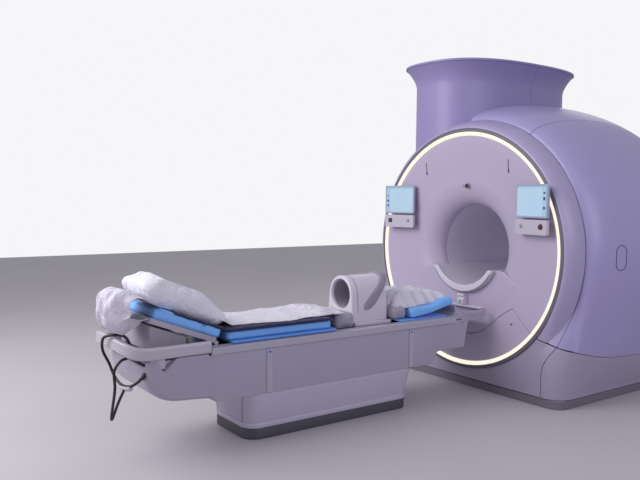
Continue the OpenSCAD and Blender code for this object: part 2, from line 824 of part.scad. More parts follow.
// Folded cover hanging over the pillow's end
module hanging_sheet() {
    z1 = back_t + 110 + 2 * fit;
    color("#f6f6fa") on_back() rotate([90, 0, 90]) translate([0, 0, -200]) linear_extrude(400)
        polygon([[-430, z1], [-430, z1 + 4], [-600, z1 + 4], [-676, z1 - 52], [-694, 40], [-684, -50], [-600, -112],
            [-597, -108], [-680, -48], [-690, 40], [-672, z1 - 54], [-598, z1]]);
}

module coil_base() {
    color("#d6d3da") translate([-170, coil_y0, coil_z]) cube([340, 331, coil_base_t]);
}

// Outline of the head coil across the table
module coil_outline() {
    hull() {
        translate([0, coil_z + coil_base_t + 192]) circle(132, $fn = 64);
        translate([-148, coil_z + coil_base_t + fit]) square([296, 60]);
    }
}

module coil_shell() {
    color("#dcd9e2") difference() {
        along_y(coil_y0 - 8, coil_y0 + 366) coil_outline();
        translate([0, coil_y0 - 50, coil_z + coil_base_t + 186]) rotate([-90, 0, 0])
            cylinder(r = 98, h = 500, $fn = 64);
    }
}

module coil_pads() {
    z0 = on_tray(366);
    color("#9a97a6") {
        pad(380, -2233, coil_y0 - 12, z0, z0 + 112, 24);
        pad(380, coil_y0 + 368, leg_y - 12, z0, z0 + 100, 18);
    }
}

// Places a drawing in the leg pad's tilted frame, which rests on the tabletop and on its lip
module on_leg() {
    translate([0, leg_y, on_tray(500) + 3]) rotate([leg_deg, 0, 0]) children();
}

module leg_pad() {
    color("#5f93dc") on_leg() pad(500, 0, 430, 0, leg_t, 14);
}

module linen_pile() {
    color("#f0f0f5") on_leg() pad(360, 10, 400, leg_t + fit, leg_t + 100, 36);
}

// Route of the black cables: out of the end cover, down to the sleeve, over the handle and in a long bight
cable_pts = [[250, -3600, 505], [262, -3640, 478], [220, -3668, 448], [130, -3684, 440], [48, -3694, 470],
    [10, -3712, 540], [24, -3754, 625], [66, -3764, 700], [118, -3730, 722], [150, -3676, 716],
    [172, -3652, 668], [186, -3664, 606], [196, -3712, 590], [206, -3752, 540], [186, -3742, 440],
    [110, -3728, 320], [50, -3716, 236], [30, -3704, 222], [44, -3698, 252], [110, -3694, 340], [180, -3686, 426]];
cable_r = 8;

// Point on a smooth curve through p, at u from 0 to 1 between p[i] and p[i + 1]
function curve_at(p, i, u) = let(m = len(p) - 1, a = p[max(i - 1, 0)], b = p[i], c = p[i + 1],
    d = p[min(i + 2, m)]) b + 0.5 * u * ((c - a) + u * ((2 * a - 5 * b + 4 * c - d) + u * (3 * b - a - 3 * c + d)));
function curve(p, n) = concat([for (i = [0 : len(p) - 2], k = [0 : n - 1]) curve_at(p, i, k / n)],
    [p[len(p) - 1]]);

module handle_cables() {
    color("#1b1b1f") tube_along(curve(cable_pts, 3), cable_r, cable_r, 8);
}

// Grey sleeve round the cables under the handle
module cable_sleeve() {
    color("#b9b9bf") tube_along([[226, -3666, 436], [180, -3676, 428], [130, -3682, 424]], 14, 14, 12);
}

gantry_plinth();
base_cover_front();
base_side(-1);  // base_cover_left
base_side(1);  // base_cover_right
side_cover(-1);  // side_cover_left
side_cover(1);  // side_cover_right
top_cover();
front_surround();
front_panel();
lower_front_panel();
light_ring_upper();
light_ring_lower();
rear_panel();
bore_liner();
gradient_coil();
magnet_vessel();
vent_pipe();
bridge();
docking_latch();
shroud_front();
shroud_rear();
shroud_flange();
display_housing(-1);  // display_housing_left
display_screen(-1);  // display_screen_left
control_box(-1);  // control_box_left
push_button(-1);  // push_button_left
stop_button(-1);  // stop_button_left
display_housing(1);  // display_housing_right
display_screen(1);  // display_screen_right
control_box(1);  // control_box_right
push_button(1);  // push_button_right
stop_button(1);  // stop_button_right
table_plinth();
lower_cover();
lift_column();
mid_column();
middle_shroud();
lift_ram();
upper_cover();
end_cover();
nose_cover();
corner_strips();
side_rails();
end_handle();
tabletop();
seat_mattress();
under_mat();
fitted_sheet();
backrest_pad();
backrest_frame();
foot_box();
pillow();
hanging_sheet();
coil_base();
coil_shell();
coil_pads();
leg_pad();
linen_pile();
handle_cables();
cable_sleeve();
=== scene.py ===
from math import asin, atan2, copysign, cos, degrees, exp, hypot, pi, radians, sin, sqrt

import bmesh
import bpy
from mathutils import Matrix, Vector, noise
from mathutils.bvhtree import BVHTree


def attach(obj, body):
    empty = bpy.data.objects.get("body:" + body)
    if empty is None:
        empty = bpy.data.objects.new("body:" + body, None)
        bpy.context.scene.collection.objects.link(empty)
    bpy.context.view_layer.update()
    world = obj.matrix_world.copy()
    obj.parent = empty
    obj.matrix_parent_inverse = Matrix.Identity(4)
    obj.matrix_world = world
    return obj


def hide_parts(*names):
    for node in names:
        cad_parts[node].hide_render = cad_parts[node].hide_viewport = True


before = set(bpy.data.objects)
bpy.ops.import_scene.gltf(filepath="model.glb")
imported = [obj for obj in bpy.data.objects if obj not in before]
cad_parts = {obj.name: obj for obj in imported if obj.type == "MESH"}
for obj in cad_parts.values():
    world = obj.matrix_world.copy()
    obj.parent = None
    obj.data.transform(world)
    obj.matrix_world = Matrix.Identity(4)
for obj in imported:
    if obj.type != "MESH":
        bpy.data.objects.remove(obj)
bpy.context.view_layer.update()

FIXED, LIFT, TOP = "gantry_and_base", "lift_frame", "tabletop"
LEFT, RIGHT = -1, 1
ISO = 1.1  # height of the bore's axis
AXIS, FROM_REAR, FROM_FRONT = (0, 0, ISO), (0, 1.5, ISO), (0, -9, ISO)


def with_side(start, side):
    return start + ("left" if side < 0 else "right")


# Shapes: every helper gives (points, faces), in metres

def smooth(x, lo=0.0, hi=1.0):
    t = min(1.0, max(0.0, (x - lo) / (hi - lo)))
    return t * t * (3 - 2 * t)


def lerp(a, b, t):
    return a + (b - a) * t


def along(table, x):
    """Value of a table of (x, value) pairs at x, in straight steps."""
    for (x0, v0), (x1, v1) in zip(table, table[1:]):
        if x <= x1:
            return v0 + (v1 - v0) * (max(x, x0) - x0) / (x1 - x0)
    return table[-1][1]


def spread(lo, hi, n):
    return [lo + (hi - lo) * i / n for i in range(n + 1)]


def curved(points, steps):
    """A smooth line through the points."""
    out = []
    ends = [points[0]] + list(points) + [points[-1]]
    for a, b, c, d in zip(ends, ends[1:], ends[2:], ends[3:]):
        a, b, c, d = (Vector(p) for p in (a, b, c, d))
        for k in range(steps):
            u = k / steps
            out.append(b + 0.5 * u * ((c - a) + u * ((2 * a - 5 * b + 4 * c - d)
                                                     + u * (3 * b - a - 3 * c + d))))
    return out + [Vector(points[-1])]


def full_turn(n):
    return [2 * pi * k / n for k in range(n)]


def lattice(rows, close_rows=False, close_columns=False):
    """Faces between rows of equally many points."""
    n = len(rows[0])
    points = [tuple(p) for row in rows for p in row]
    faces = []
    for i in range(len(rows) if close_rows else len(rows) - 1):
        a, b = i * n, ((i + 1) % len(rows)) * n
        for k in range(n if close_columns else n - 1):
            m = (k + 1) % n
            faces.append((a + k, a + m, b + m, b + k))
    return points, faces


def tube(rows):
    """A closed tube through rings of equally many points, with a face on each end."""
    points, faces = lattice(rows, close_columns=True)
    n = len(rows[0])
    return points, faces + [tuple(range(n)), tuple(len(points) - 1 - k for k in range(n))]


def joined(*parts):
    points, faces = [], []
    for p, f in parts:
        base = len(points)
        points += [tuple(v) for v in p]
        faces += [tuple(i + base for i in face) for face in f]
    return points, faces


def moved(part, matrix):
    return [tuple(matrix @ Vector(p)) for p in part[0]], part[1]


def prism(outline, lo, hi, axis="x"):
    """An outline drawn out along an axis: of y and z along x, x and z along y, x and y along z."""
    put = {"x": lambda a, b, t: (t, a, b),
           "y": lambda a, b, t: (a, t, b),
           "z": lambda a, b, t: (a, b, t)}[axis]
    n = len(outline)
    points = [put(a, b, lo) for a, b in outline] + [put(a, b, hi) for a, b in outline]
    faces = [tuple(range(n - 1, -1, -1)), tuple(range(n, 2 * n))]
    faces += [(k, (k + 1) % n, n + (k + 1) % n, n + k) for k in range(n)]
    return points, faces


def rounded(w, h, r, n=6, cx=0.0, cy=0.0):
    """Outline of a rectangle with rounded corners."""
    corners = [(w / 2 - r, h / 2 - r, 0), (-w / 2 + r, h / 2 - r, 90), (-w / 2 + r, -h / 2 + r, 180),
               (w / 2 - r, -h / 2 + r, 270)]
    return [(cx + x + r * cos(radians(a + 90 * k / n)), cy + y + r * sin(radians(a + 90 * k / n)))
            for x, y, a in corners for k in range(n + 1)]


def stack(outlines):
    """Closed form through level outlines: a list of (outline, z)."""
    rows = [[(x, y, z) for x, y in outline] for outline, z in outlines]
    points, faces = lattice(rows, close_columns=True)
    n = len(rows[0])
    return points, faces + [tuple(range(n - 1, -1, -1)), tuple(len(points) - n + k for k in range(n))]


def turned(profile, n, start=0.0, end=360.0, centre=(0.0, 0.0, ISO)):
    """A profile of radius and y, turned about the bore's axis."""
    full = abs(end - start) >= 360
    angles = [radians(start + (end - start) * k / n) for k in range(n if full else n + 1)]
    rows = [[(centre[0] + r * cos(a), centre[1] + y, centre[2] + r * sin(a)) for a in angles]
            for r, y in profile]
    return lattice(rows, close_columns=full)


def swept(path, a, b=None, n=16, level=False, square=1.0):
    """A tube along a path, a wide and b high.

    level keeps its height upright, and a square under 1 flattens its faces.
    """
    b = a if b is None else b
    path = [Vector(p) for p in path]
    rows = []
    side = None
    for i, p in enumerate(path):
        t = (path[min(i + 1, len(path) - 1)] - path[max(i - 1, 0)]).normalized()
        if level or side is None:
            side = t.cross(Vector((0, 0, 1)))
            if side.length < 1e-3:
                side = t.cross(Vector((1, 0, 0)))
        side = (side - t * side.dot(t)).normalized()
        up = side.cross(t)
        ring = [(cos(turn), sin(turn)) for turn in full_turn(n)]
        rows.append([p + side * a * copysign(abs(c) ** square, c) + up * b * copysign(abs(s) ** square, s)
                     for c, s in ring])
    return tube(rows)


def mesh_of(name, part):
    mesh = bpy.data.meshes.new(name)
    mesh.from_pydata([tuple(p) for p in part[0]], [], [tuple(f) for f in part[1]])
    return mesh


def placed(name, data):
    """A new object in the scene that holds a mesh, a lamp or a camera."""
    obj = bpy.data.objects.new(name, data)
    bpy.context.scene.collection.objects.link(obj)
    return obj


def piece(name, part, finish, body, replaces=(), slot=None, solid=0.0, bevel=0.0, steps=3, outward=None,
          sharp=40, rounds=0, push=-1):
    """Makes an object of a part, with its walls, softened edges, finish and body."""
    mesh = mesh_of(name, part)
    mesh.validate()
    obj = placed(name, mesh)
    tidy(mesh, outward)
    mesh.materials.append(finish)
    if solid:
        mod = obj.modifiers.new("wall", "SOLIDIFY")
        mod.thickness, mod.offset, mod.use_even_offset = solid, push, False
    if bevel:
        mod = obj.modifiers.new("edge", "BEVEL")
        mod.width, mod.segments, mod.limit_method, mod.angle_limit = bevel, steps, "ANGLE", radians(30)
        mod.harden_normals = True
    if rounds:
        mod = obj.modifiers.new("rounds", "SUBSURF")
        mod.levels = mod.render_levels = rounds
    shade(mesh, sharp)
    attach(obj, body)
    if replaces:
        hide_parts(*([replaces] if isinstance(replaces, str) else replaces))
    return obj


def tidy(mesh, outward=None):
    """Welds points and turns the faces outward: away from a line along y, or from the inside."""
    bm = bmesh.new()
    bm.from_mesh(mesh)
    bmesh.ops.remove_doubles(bm, verts=bm.verts, dist=1e-5)
    bmesh.ops.dissolve_degenerate(bm, edges=bm.edges, dist=1e-6)
    bmesh.ops.recalc_face_normals(bm, faces=bm.faces)
    if outward:
        total = sum(f.normal.dot(f.calc_center_median() - Vector(outward)) * f.calc_area() for f in bm.faces)
        if total < 0:
            bmesh.ops.reverse_faces(bm, faces=bm.faces)
    bm.to_mesh(mesh)
    bm.free()


def shade(mesh, sharp=40):
    for polygon in mesh.polygons:
        polygon.use_smooth = True
    mesh.set_sharp_from_angle(angle=radians(sharp))


def settled(obj):
    """Puts the result of an object's modifiers into its mesh."""
    graph = bpy.context.evaluated_depsgraph_get()
    mesh = bpy.data.meshes.new_from_object(obj.evaluated_get(graph))
    obj.modifiers.clear()
    old, obj.data = obj.data, mesh
    bpy.data.meshes.remove(old)
    return obj


def carved(obj, *cutters):
    """Cuts the cutters' shapes out of an object."""
    helpers = []
    for part in cutters:
        mesh = mesh_of("cutter", part)
        tidy(mesh)
        helper = placed("cutter", mesh)
        helpers.append(helper)
        mod = obj.modifiers.new("cut", "BOOLEAN")
        mod.object, mod.operation, mod.solver = helper, "DIFFERENCE", "EXACT"
    settled(obj)
    for helper in helpers:
        bpy.data.objects.remove(helper)
    return obj


# Finishes

class Reading:
    """A socket of a node that sums are written with."""

    def __init__(self, finish, socket):
        self.finish, self.socket = finish, socket

    def __add__(self, other):
        return self.finish.sum("ADD", self, other)

    def __sub__(self, other):
        return self.finish.sum("SUBTRACT", self, other)

    def __mul__(self, other):
        return self.finish.sum("MULTIPLY", self, other)

    def __truediv__(self, other):
        return self.finish.sum("DIVIDE", self, other)

    def __rsub__(self, other):
        return self.finish.sum("SUBTRACT", other, self)

    def __pow__(self, other):
        return self.finish.sum("POWER", self, other)

    def __gt__(self, other):
        return self.finish.sum("GREATER_THAN", self, other)

    def __lt__(self, other):
        return self.finish.sum("LESS_THAN", self, other)

    __radd__, __rmul__ = __add__, __mul__


class Finish:
    """A material: node() makes any node, and sums of readings make the Math nodes."""

    def __init__(self, name, colour, roughness, **fixed):
        self.material = bpy.data.materials.new(name)
        self.material.use_nodes = True
        self.tree = self.material.node_tree
        self.shader = self.tree.nodes["Principled BSDF"]
        self.set("Base Color", (*colour, 1))
        self.set("Roughness", roughness)
        for socket, value in fixed.items():
            self.set(socket.replace("_", " "), value)
        self.points = self.node("TexCoord", out="Object")

    def set(self, socket, value):
        if isinstance(value, Reading):
            self.tree.links.new(value.socket, self.shader.inputs[socket])
        else:
            self.shader.inputs[socket].default_value = value

    def node(self, kind, settings=None, inputs=None, out=0):
        node = self.tree.nodes.new("ShaderNode" + kind)
        for key, value in (settings or {}).items():
            if key == "stops":
                ramp = node.color_ramp.elements
                added = [ramp.new(0.5) for _ in value[2:]]
                for element, (place, colour) in zip([ramp[0], ramp[1]] + added, value):
                    element.position, element.color = place, (*colour, 1)
            else:
                setattr(node, key, value)
        for key, value in (inputs or {}).items():
            if isinstance(value, Reading):
                self.tree.links.new(value.socket, node.inputs[key])
            else:
                node.inputs[key].default_value = value
        return Reading(self, node.outputs[out])

    def sum(self, operation, a, b=0.0):
        return self.node("Math", {"operation": operation}, {0: a, 1: b})

    def mix(self, factor, a, b, kind="MIX"):
        a, b = (v if isinstance(v, Reading) else (*v, 1) for v in (a, b))
        return self.node("Mix", {"data_type": "RGBA", "blend_type": kind}, {0: factor, 6: a, 7: b}, out=2)

    def cloud(self, scale, detail=2.0, roughness=0.5, points=None):
        return self.node("TexNoise", {}, {"Vector": points or self.points, "Scale": scale, "Detail": detail,
                                          "Roughness": roughness})

    def waves(self, axis, scale, distortion=0.0, profile="SIN"):
        return self.node("TexWave", {"bands_direction": axis, "wave_profile": profile},
                         {"Vector": self.points, "Scale": scale, "Distortion": distortion, "Detail": 1.0},
                         out="Fac")

    def axes(self, points=None):
        parts = self.tree.nodes.new("ShaderNodeSeparateXYZ")
        self.tree.links.new((points or self.points).socket, parts.inputs[0])
        return [Reading(self, parts.outputs[k]) for k in range(3)]

    def relief(self, height, distance, strength=1.0, under=None):
        inputs = {"Height": height, "Distance": distance, "Strength": strength}
        if under:
            inputs["Normal"] = under
        return self.node("Bump", {}, inputs, out="Normal")


def srgb(*values):
    """Colour as read off a picture, 0 to 255, as the shader wants it."""
    return tuple((v / 255 / 12.92) if v / 255 <= 0.04045 else ((v / 255 + 0.055) / 1.055) ** 2.4
                 for v in values)


def darker(colour, share):
    return tuple(c * share for c in colour)


def lighter(colour, tone):
    return tuple(min(1, c * (1 + tone)) for c in colour)


def moulded(name, colour, roughness=0.34, coat=0.25, floor_darkening=0.0, grain=0.00012, tone=0.05):
    """Sprayed moulded cover: faint clouding, orange peel, and clouded darkening towards the floor."""
    f = Finish(name, colour, roughness, Coat_Weight=coat, Coat_Roughness=0.12, IOR=1.47)
    base = f.mix(f.cloud(1.7, 3.0), darker(colour, 1 - tone), lighter(colour, tone))
    if floor_darkening:
        # darker towards the floor in clouded patches, fading out by 0.35 m up
        height = f.axes()[2]
        low = (1 - f.sum("MINIMUM", height * (1 / 0.35), 1.0)) * f.cloud(9.0, 6.0, 0.7)
        base = f.mix(low * floor_darkening, base, darker(colour, 0.55))
    f.set("Base Color", base)
    f.set("Roughness", f.cloud(22.0, 4.0) * 0.14 + (roughness - 0.07))
    f.set("Normal", f.relief(f.cloud(620.0, 1.0), grain, 0.5))
    return f.material


def leatherette(name, colour, tone=0.08):
    """Wipe-clean coated cloth with a fine pebble and soft creases."""
    f = Finish(name, colour, 0.46, Coat_Weight=0.08, Coat_Roughness=0.4, Sheen_Weight=0.12,
               Sheen_Roughness=0.5)
    base = f.mix(f.cloud(5.0, 5.0, 0.6), darker(colour, 1 - 2 * tone), lighter(colour, tone))
    f.set("Base Color", base)
    f.set("Roughness", f.cloud(40.0, 4.0) * 0.2 + 0.37)
    pebble = f.node("TexVoronoi", {}, {"Vector": f.points, "Scale": 420.0}, out="Distance")
    creases = f.cloud(16.0, 4.0, 0.65)
    f.set("Normal", f.relief(pebble, 0.00035, 0.5, f.relief(creases, 0.006, 0.35)))
    return f.material


def woven(name, colour, roughness=0.85, crease=0.012, tone=0.05, thread=900.0, sheen=0.25):
    """Plain-weave cotton with crumples."""
    f = Finish(name, colour, roughness, Sheen_Weight=sheen, Sheen_Roughness=0.4)
    warp, weft = f.waves("X", thread), f.waves("Y", thread)
    base = f.mix(f.cloud(7.0, 5.0, 0.6), darker(colour, 1 - 2 * tone), lighter(colour, tone))
    f.set("Base Color", f.mix(warp * weft * 0.25, base, darker(colour, 0.82)))
    f.set("Roughness", f.cloud(60.0) * 0.1 + (roughness - 0.05))
    ridges = 1 - f.sum("ABSOLUTE", f.cloud(9.0, 3.0, 0.55) * 2 - 1)
    f.set("Normal", f.relief(warp + weft, 0.0002, 0.6, f.relief(ridges ** 3.0, crease, 0.55)))
    return f.material


def foam(name, colour):
    """Open foam block with small pores."""
    f = Finish(name, colour, 0.9, Sheen_Weight=0.15)
    pores = f.node("TexVoronoi", {}, {"Vector": f.points, "Scale": 330.0}, out="Distance")
    f.set("Base Color", f.mix(pores * f.cloud(30.0, 4.0) * 1.6, darker(colour, 0.7), colour))
    f.set("Normal", f.relief(pores, 0.0009, 0.7))
    f.set("Roughness", f.cloud(50.0) * 0.1 + 0.84)
    return f.material


def metal(name, colour, roughness=0.35, brushed=(1.0, 60.0, 60.0)):
    """Drawn or brushed metal: streaks along one axis."""
    f = Finish(name, colour, roughness, Metallic=1.0)
    streaks = f.cloud(9.0, 4.0, 0.6, f.node("Mapping", {}, {"Vector": f.points, "Scale": brushed}))
    f.set("Base Color", f.mix(streaks, darker(colour, 0.82), colour))
    f.set("Roughness", streaks * 0.2 + (roughness - 0.1))
    f.set("Normal", f.relief(streaks, 0.0001, 0.4))
    return f.material


def rubbery(name, colour, roughness=0.6, grain=500.0):
    """Dark moulded rubber or vinyl, slightly dusty."""
    f = Finish(name, colour, roughness)
    dust = f.cloud(14.0, 6.0, 0.7)
    f.set("Base Color", f.mix(dust * 0.5, colour, tuple(c * 1.6 + 0.012 for c in colour)))
    f.set("Roughness", dust * 0.25 + (roughness - 0.12))
    f.set("Normal", f.relief(f.cloud(grain, 2.0), 0.0003, 0.6))
    return f.material


def lit_acrylic(name, colour, strength):
    """Light band behind opal acrylic: a little brighter over each diode."""
    f = Finish(name, (0.10, 0.095, 0.085), 0.3, Emission_Strength=strength, Coat_Weight=0.1)
    x, _, z = f.axes()
    turn = f.sum("ARCTAN2", z - ISO, x)
    beads = f.sum("SINE", turn * 240.0) * 0.5 + 0.5
    f.set("Emission Color", f.mix(beads * 0.25 + f.cloud(3.0) * 0.3, colour, (1.0, 0.93, 0.80)))
    f.set("Roughness", f.cloud(80.0) * 0.1 + 0.25)
    return f.material


def touch_screen(name):
    """Pale blue page with a header bar and faint rows, drawn over the screen's own width and height."""
    f = Finish(name, (0.02, 0.03, 0.04), 0.12, Emission_Strength=0.86, Coat_Weight=0.6, Coat_Roughness=0.03)
    across, up, _ = f.axes(f.node("TexCoord", out="UV"))
    page = f.mix(f.cloud(4.0, 2.0), srgb(176, 208, 236), srgb(196, 222, 244))
    rows = (f.sum("FRACT", up * 9.0) > 0.93) * (across < 0.78) * (across > 0.05)
    page = f.mix(rows * 0.35, page, srgb(150, 186, 222))
    page = f.mix((up > 0.93) * 0.7, page, srgb(160, 196, 226))
    page = f.mix((across > 0.86) * 0.45, page, srgb(150, 190, 224))
    f.set("Emission Color", page)
    f.set("Roughness", f.cloud(12.0, 4.0) * 0.1 + 0.08)
    return f.material


# Camera at the photograph's view

camera = placed("camera", bpy.data.cameras.new("camera"))
bpy.context.scene.camera = camera
camera.data.lens, camera.data.sensor_width, camera.data.sensor_fit = 39.74, 36, "HORIZONTAL"
camera.data.clip_start, camera.data.clip_end = 0.05, 100
right, up, ahead = (0.58166, 0.81337, 0.01017), (-0.05437, 0.02640, 0.99817), (-0.81161, 0.58115, -0.05957)
place = (3.931, -5.054, 1.493)
camera.matrix_world = Matrix([[right[k], up[k], -ahead[k], place[k]] for k in range(3)] + [[0, 0, 0, 1]])

# Finishes of this scanner: the violet tint of the covers' whites is painted light, the colour of the room's
# light

# Painted shade: the body covers' white is darker and more violet than the front panel's, for the shade on the
# gantry's sides
shaded_body_paint = moulded("body_cover_paint", srgb(160, 152, 196), 0.36, coat=0.15)
front_paint = moulded("front_cover_paint", srgb(180, 170, 194), 0.38, coat=0.12)
shoulder_paint = moulded("shoulder_cover_paint", srgb(164, 156, 190), 0.36, coat=0.15)
base_paint = moulded("base_cover_paint", srgb(158, 150, 172), 0.36, coat=0.12, floor_darkening=0.3)
shroud_paint = moulded("shroud_paint", srgb(146, 137, 183), 0.46, coat=0.05)
plinth_vinyl = rubbery("plinth_vinyl", srgb(101, 97, 110), 0.5)
table_plinth_vinyl = rubbery("table_plinth_vinyl", srgb(64, 61, 74), 0.5)
# Dark grey: painted shade on the light ring's rim, and the real colour of the window's marks and the catch
rim_shade_and_mark_grey = moulded("ring_rim_grey", srgb(104, 99, 112), 0.5, coat=0.0)
liner_gloss = moulded("bore_liner_gloss", srgb(214, 208, 226), 0.4, coat=0.15, grain=0.00001, tone=0.02)
bridge_white = moulded("bridge_white", srgb(206, 200, 214), 0.36, coat=0.2)
ring_light = lit_acrylic("ring_light", (1.0, 0.92, 0.75), 0.98)
# Dark grey of the joints, also used as painted shade in the panel's slots, the ledge's hole and the latch's
# eye
seam_and_shade_dark = rubbery("seam_gasket_and_shade", srgb(58, 56, 66), 0.7)
display_silver = moulded("display_silver", srgb(160, 166, 188), 0.38, coat=0.1)
control_white = moulded("control_box_white", srgb(188, 181, 196), 0.36, coat=0.2)
screen_glass = touch_screen("screen_glass")
icon_blue = rubbery("screen_icons", srgb(44, 74, 108), 0.3)
button_grey = rubbery("button_grey", srgb(142, 140, 150), 0.45)
button_red = rubbery("button_red", srgb(74, 17, 31), 0.35)
button_black = rubbery("button_black", srgb(48, 44, 54), 0.45)
# Painted light: the lower cover's white is lighter than the upper cover's, to offset the shade on its faces
# that slope in and face down
lit_lower_paint = moulded("table_lower_paint", srgb(188, 182, 202), 0.36, coat=0.15, floor_darkening=0.2)
table_paint = moulded("table_cover_paint", srgb(162, 156, 176), 0.36, coat=0.15)
table_white = moulded("table_white", srgb(172, 167, 184), 0.32, coat=0.3)
handle_white = moulded("handle_white", srgb(182, 177, 190), 0.3, coat=0.35)
steel = metal("lift_steel", srgb(176, 178, 186))
vessel_steel = metal("vessel_steel", srgb(184, 186, 192), 0.4)
winding = metal("winding_copper", srgb(196, 140, 92), 0.45, brushed=(60.0, 1.0, 60.0))
pad_blue = leatherette("pad_blue", srgb(122, 182, 252))
mat_blue = leatherette("mat_blue", srgb(94, 160, 244))
navy_cotton = woven("navy_cotton", srgb(38, 34, 84), 0.9, tone=0.15)
linen = woven("white_linen", srgb(214, 211, 224), 0.85, crease=0.012)
pillow_cotton = woven("pillow_cotton", srgb(228, 226, 238), 0.8, crease=0.010)
foam_grey = foam("foam_grey", srgb(172, 167, 182))
coil_white = moulded("coil_white", srgb(208, 201, 215), 0.34, coat=0.3)
coil_band = moulded("coil_band_grey", srgb(142, 137, 152), 0.45, coat=0.1)
cable_black = rubbery("cable_black", srgb(10, 10, 12), 0.45, 300.0)
sleeve_grey = rubbery("sleeve_grey", srgb(168, 168, 176), 0.6)
plug_blue = rubbery("plug_blue", srgb(70, 100, 190), 0.4)

# Cables at the table's end: the route is the one in the part's source

CABLE_ROUTE = [(250, -3600, 505), (262, -3640, 478), (220, -3668, 448), (130, -3684, 440), (48, -3694, 470),
               (10, -3712, 540), (24, -3754, 625), (66, -3764, 700), (118, -3730, 722), (150, -3676, 716),
               (172, -3652, 668), (186, -3664, 606), (196, -3712, 590), (206, -3752, 540), (186, -3742, 440),
               (110, -3728, 320), (50, -3716, 236), (30, -3704, 222), (44, -3698, 252), (110, -3694, 340),
               (180, -3686, 426)]
CABLE_RADIUS = 0.008


def table_cables():
    """Black cable round the end handle, its grey sleeve, and the strain relief it leaves the cover by."""
    route = curved([tuple(c / 1000 for c in p) for p in CABLE_ROUTE], 8)
    cable = piece("cable.end_loop", swept(route, CABLE_RADIUS, n=12), cable_black, LIFT, "handle_cables",
                  "cable_black")
    sleeve_path = curved([(0.226, -3.666, 0.436), (0.180, -3.676, 0.428), (0.130, -3.682, 0.424)], 6)
    sleeve = piece("cable.sleeve", swept(sleeve_path, 0.0145, n=20), sleeve_grey, LIFT, "cable_sleeve",
                   "sleeve_grey", bevel=0.003)
    cone = [(-0.006, 0.019), (0.006, 0.019), (0.010, 0.016), (0.022, 0.0115), (0.036, 0.0095),
            (0.046, 0.0086)]
    out = (route[2] - route[0]).normalized()
    rows = [[route[0] + out * s + Vector((r * cos(a), 0, r * sin(a))) for a in full_turn(16)]
            for s, r in cone]
    relief = piece("cable.strain_relief", tube(rows), cable_black, LIFT, slot="cable_black")
    length = sum((b - a).length for a, b in zip(route, route[1:]))


# Gantry: sections across the bore's axis, and the front seen as a height field

SEAM, REAR, REAR_FACE = -0.700, 0.850, 0.844
RIM_R, SEAM_R, BODY_R, REAR_R, REAR_PANEL_R = 0.954, 1.026, 1.190, 0.950, 0.9745
BASE, BASE_END, BASE_ROUND, PLINTH = 0.940, 0.830, 0.110, 0.070
GAP, LOW_EDGE, FIRST_EDGE = 0.0045, 0.416, -0.6985
FACE_Y, FOOT_Y, FOOT_BEND = -0.846, -0.832, 0.140
SHOULDER_Z, HIP_Z = 1.063, 0.749


def skin_radius(y):
    if y < 0:
        full = SEAM_R + (BODY_R - SEAM_R) * sqrt(max(0, 1 - (y / SEAM) ** 2))
        return min(full, SEAM_R + 0.0005 + max(0, y - FIRST_EDGE) * 3.2)
    return REAR_R + (BODY_R - REAR_R) * sqrt(max(0, 1 - (y / REAR) ** 2))


def base_half(y):
    d = max(0, BASE_ROUND - min(y + BASE_END, BASE_END - y))
    return BASE - BASE_ROUND + sqrt(max(0, BASE_ROUND ** 2 - d * d))


class Section:
    """Right half of the body's outline at one y: an arc, a slope to the base and a short upright."""

    def __init__(self, y):
        self.y, self.r, self.b = y, skin_radius(y), base_half(y)
        foot = PLINTH + 0.02
        low = atan2(foot - ISO, self.b)
        self.turn = low + acos_safe(self.r / hypot(self.b, foot - ISO))
        self.arc = self.r * (pi / 2 - self.turn)
        self.tangent = (self.r * cos(self.turn), ISO + self.r * sin(self.turn))
        self.slope = hypot(self.b - self.tangent[0], foot - self.tangent[1])
        self.foot = foot

    def at(self, t):
        if t <= self.arc:
            a = pi / 2 - t / self.r
            return self.r * cos(a), ISO + self.r * sin(a)
        u = (t - self.arc) / self.slope
        if u <= 1:
            return lerp(self.tangent[0], self.b, u), lerp(self.tangent[1], self.foot, u)
        return self.b, self.foot - (t - self.arc - self.slope)

    def down_to(self, z):
        if z >= self.tangent[1]:
            return self.r * (pi / 2 - asin((z - ISO) / self.r))
        if z >= self.foot:
            return self.arc + self.slope * (self.tangent[1] - z) / (self.tangent[1] - self.foot)
        return self.arc + self.slope + self.foot - z


def acos_safe(v):
    return pi / 2 - asin(max(-1, min(1, v)))


FIRST = Section(SEAM)


def outline_x(z):
    return FIRST.at(FIRST.down_to(z))[0]


def bend(d, width, y0):
    """y of the front's skin at a distance d inside its edge, level beyond width."""
    q = min(1, max(0, 1 - d / width))
    return y0 + (SEAM - 0.002 - y0) * (0.45 * q * q + 0.55 * (1 - sqrt(1 - q * q)))


def front_depth(x, z):
    """y of the front's skin at x and z: level near the ring, then round to the sides."""
    x = abs(x)
    fall = smooth(-16 - degrees(atan2(z - ISO, x)), 0, 30)
    y = bend(SEAM_R - hypot(x, z - ISO), SEAM_R - RIM_R, FACE_Y)
    if fall:
        y = lerp(y, bend(outline_x(max(z, PLINTH)) - x, FOOT_BEND, FOOT_Y), fall)
    return y


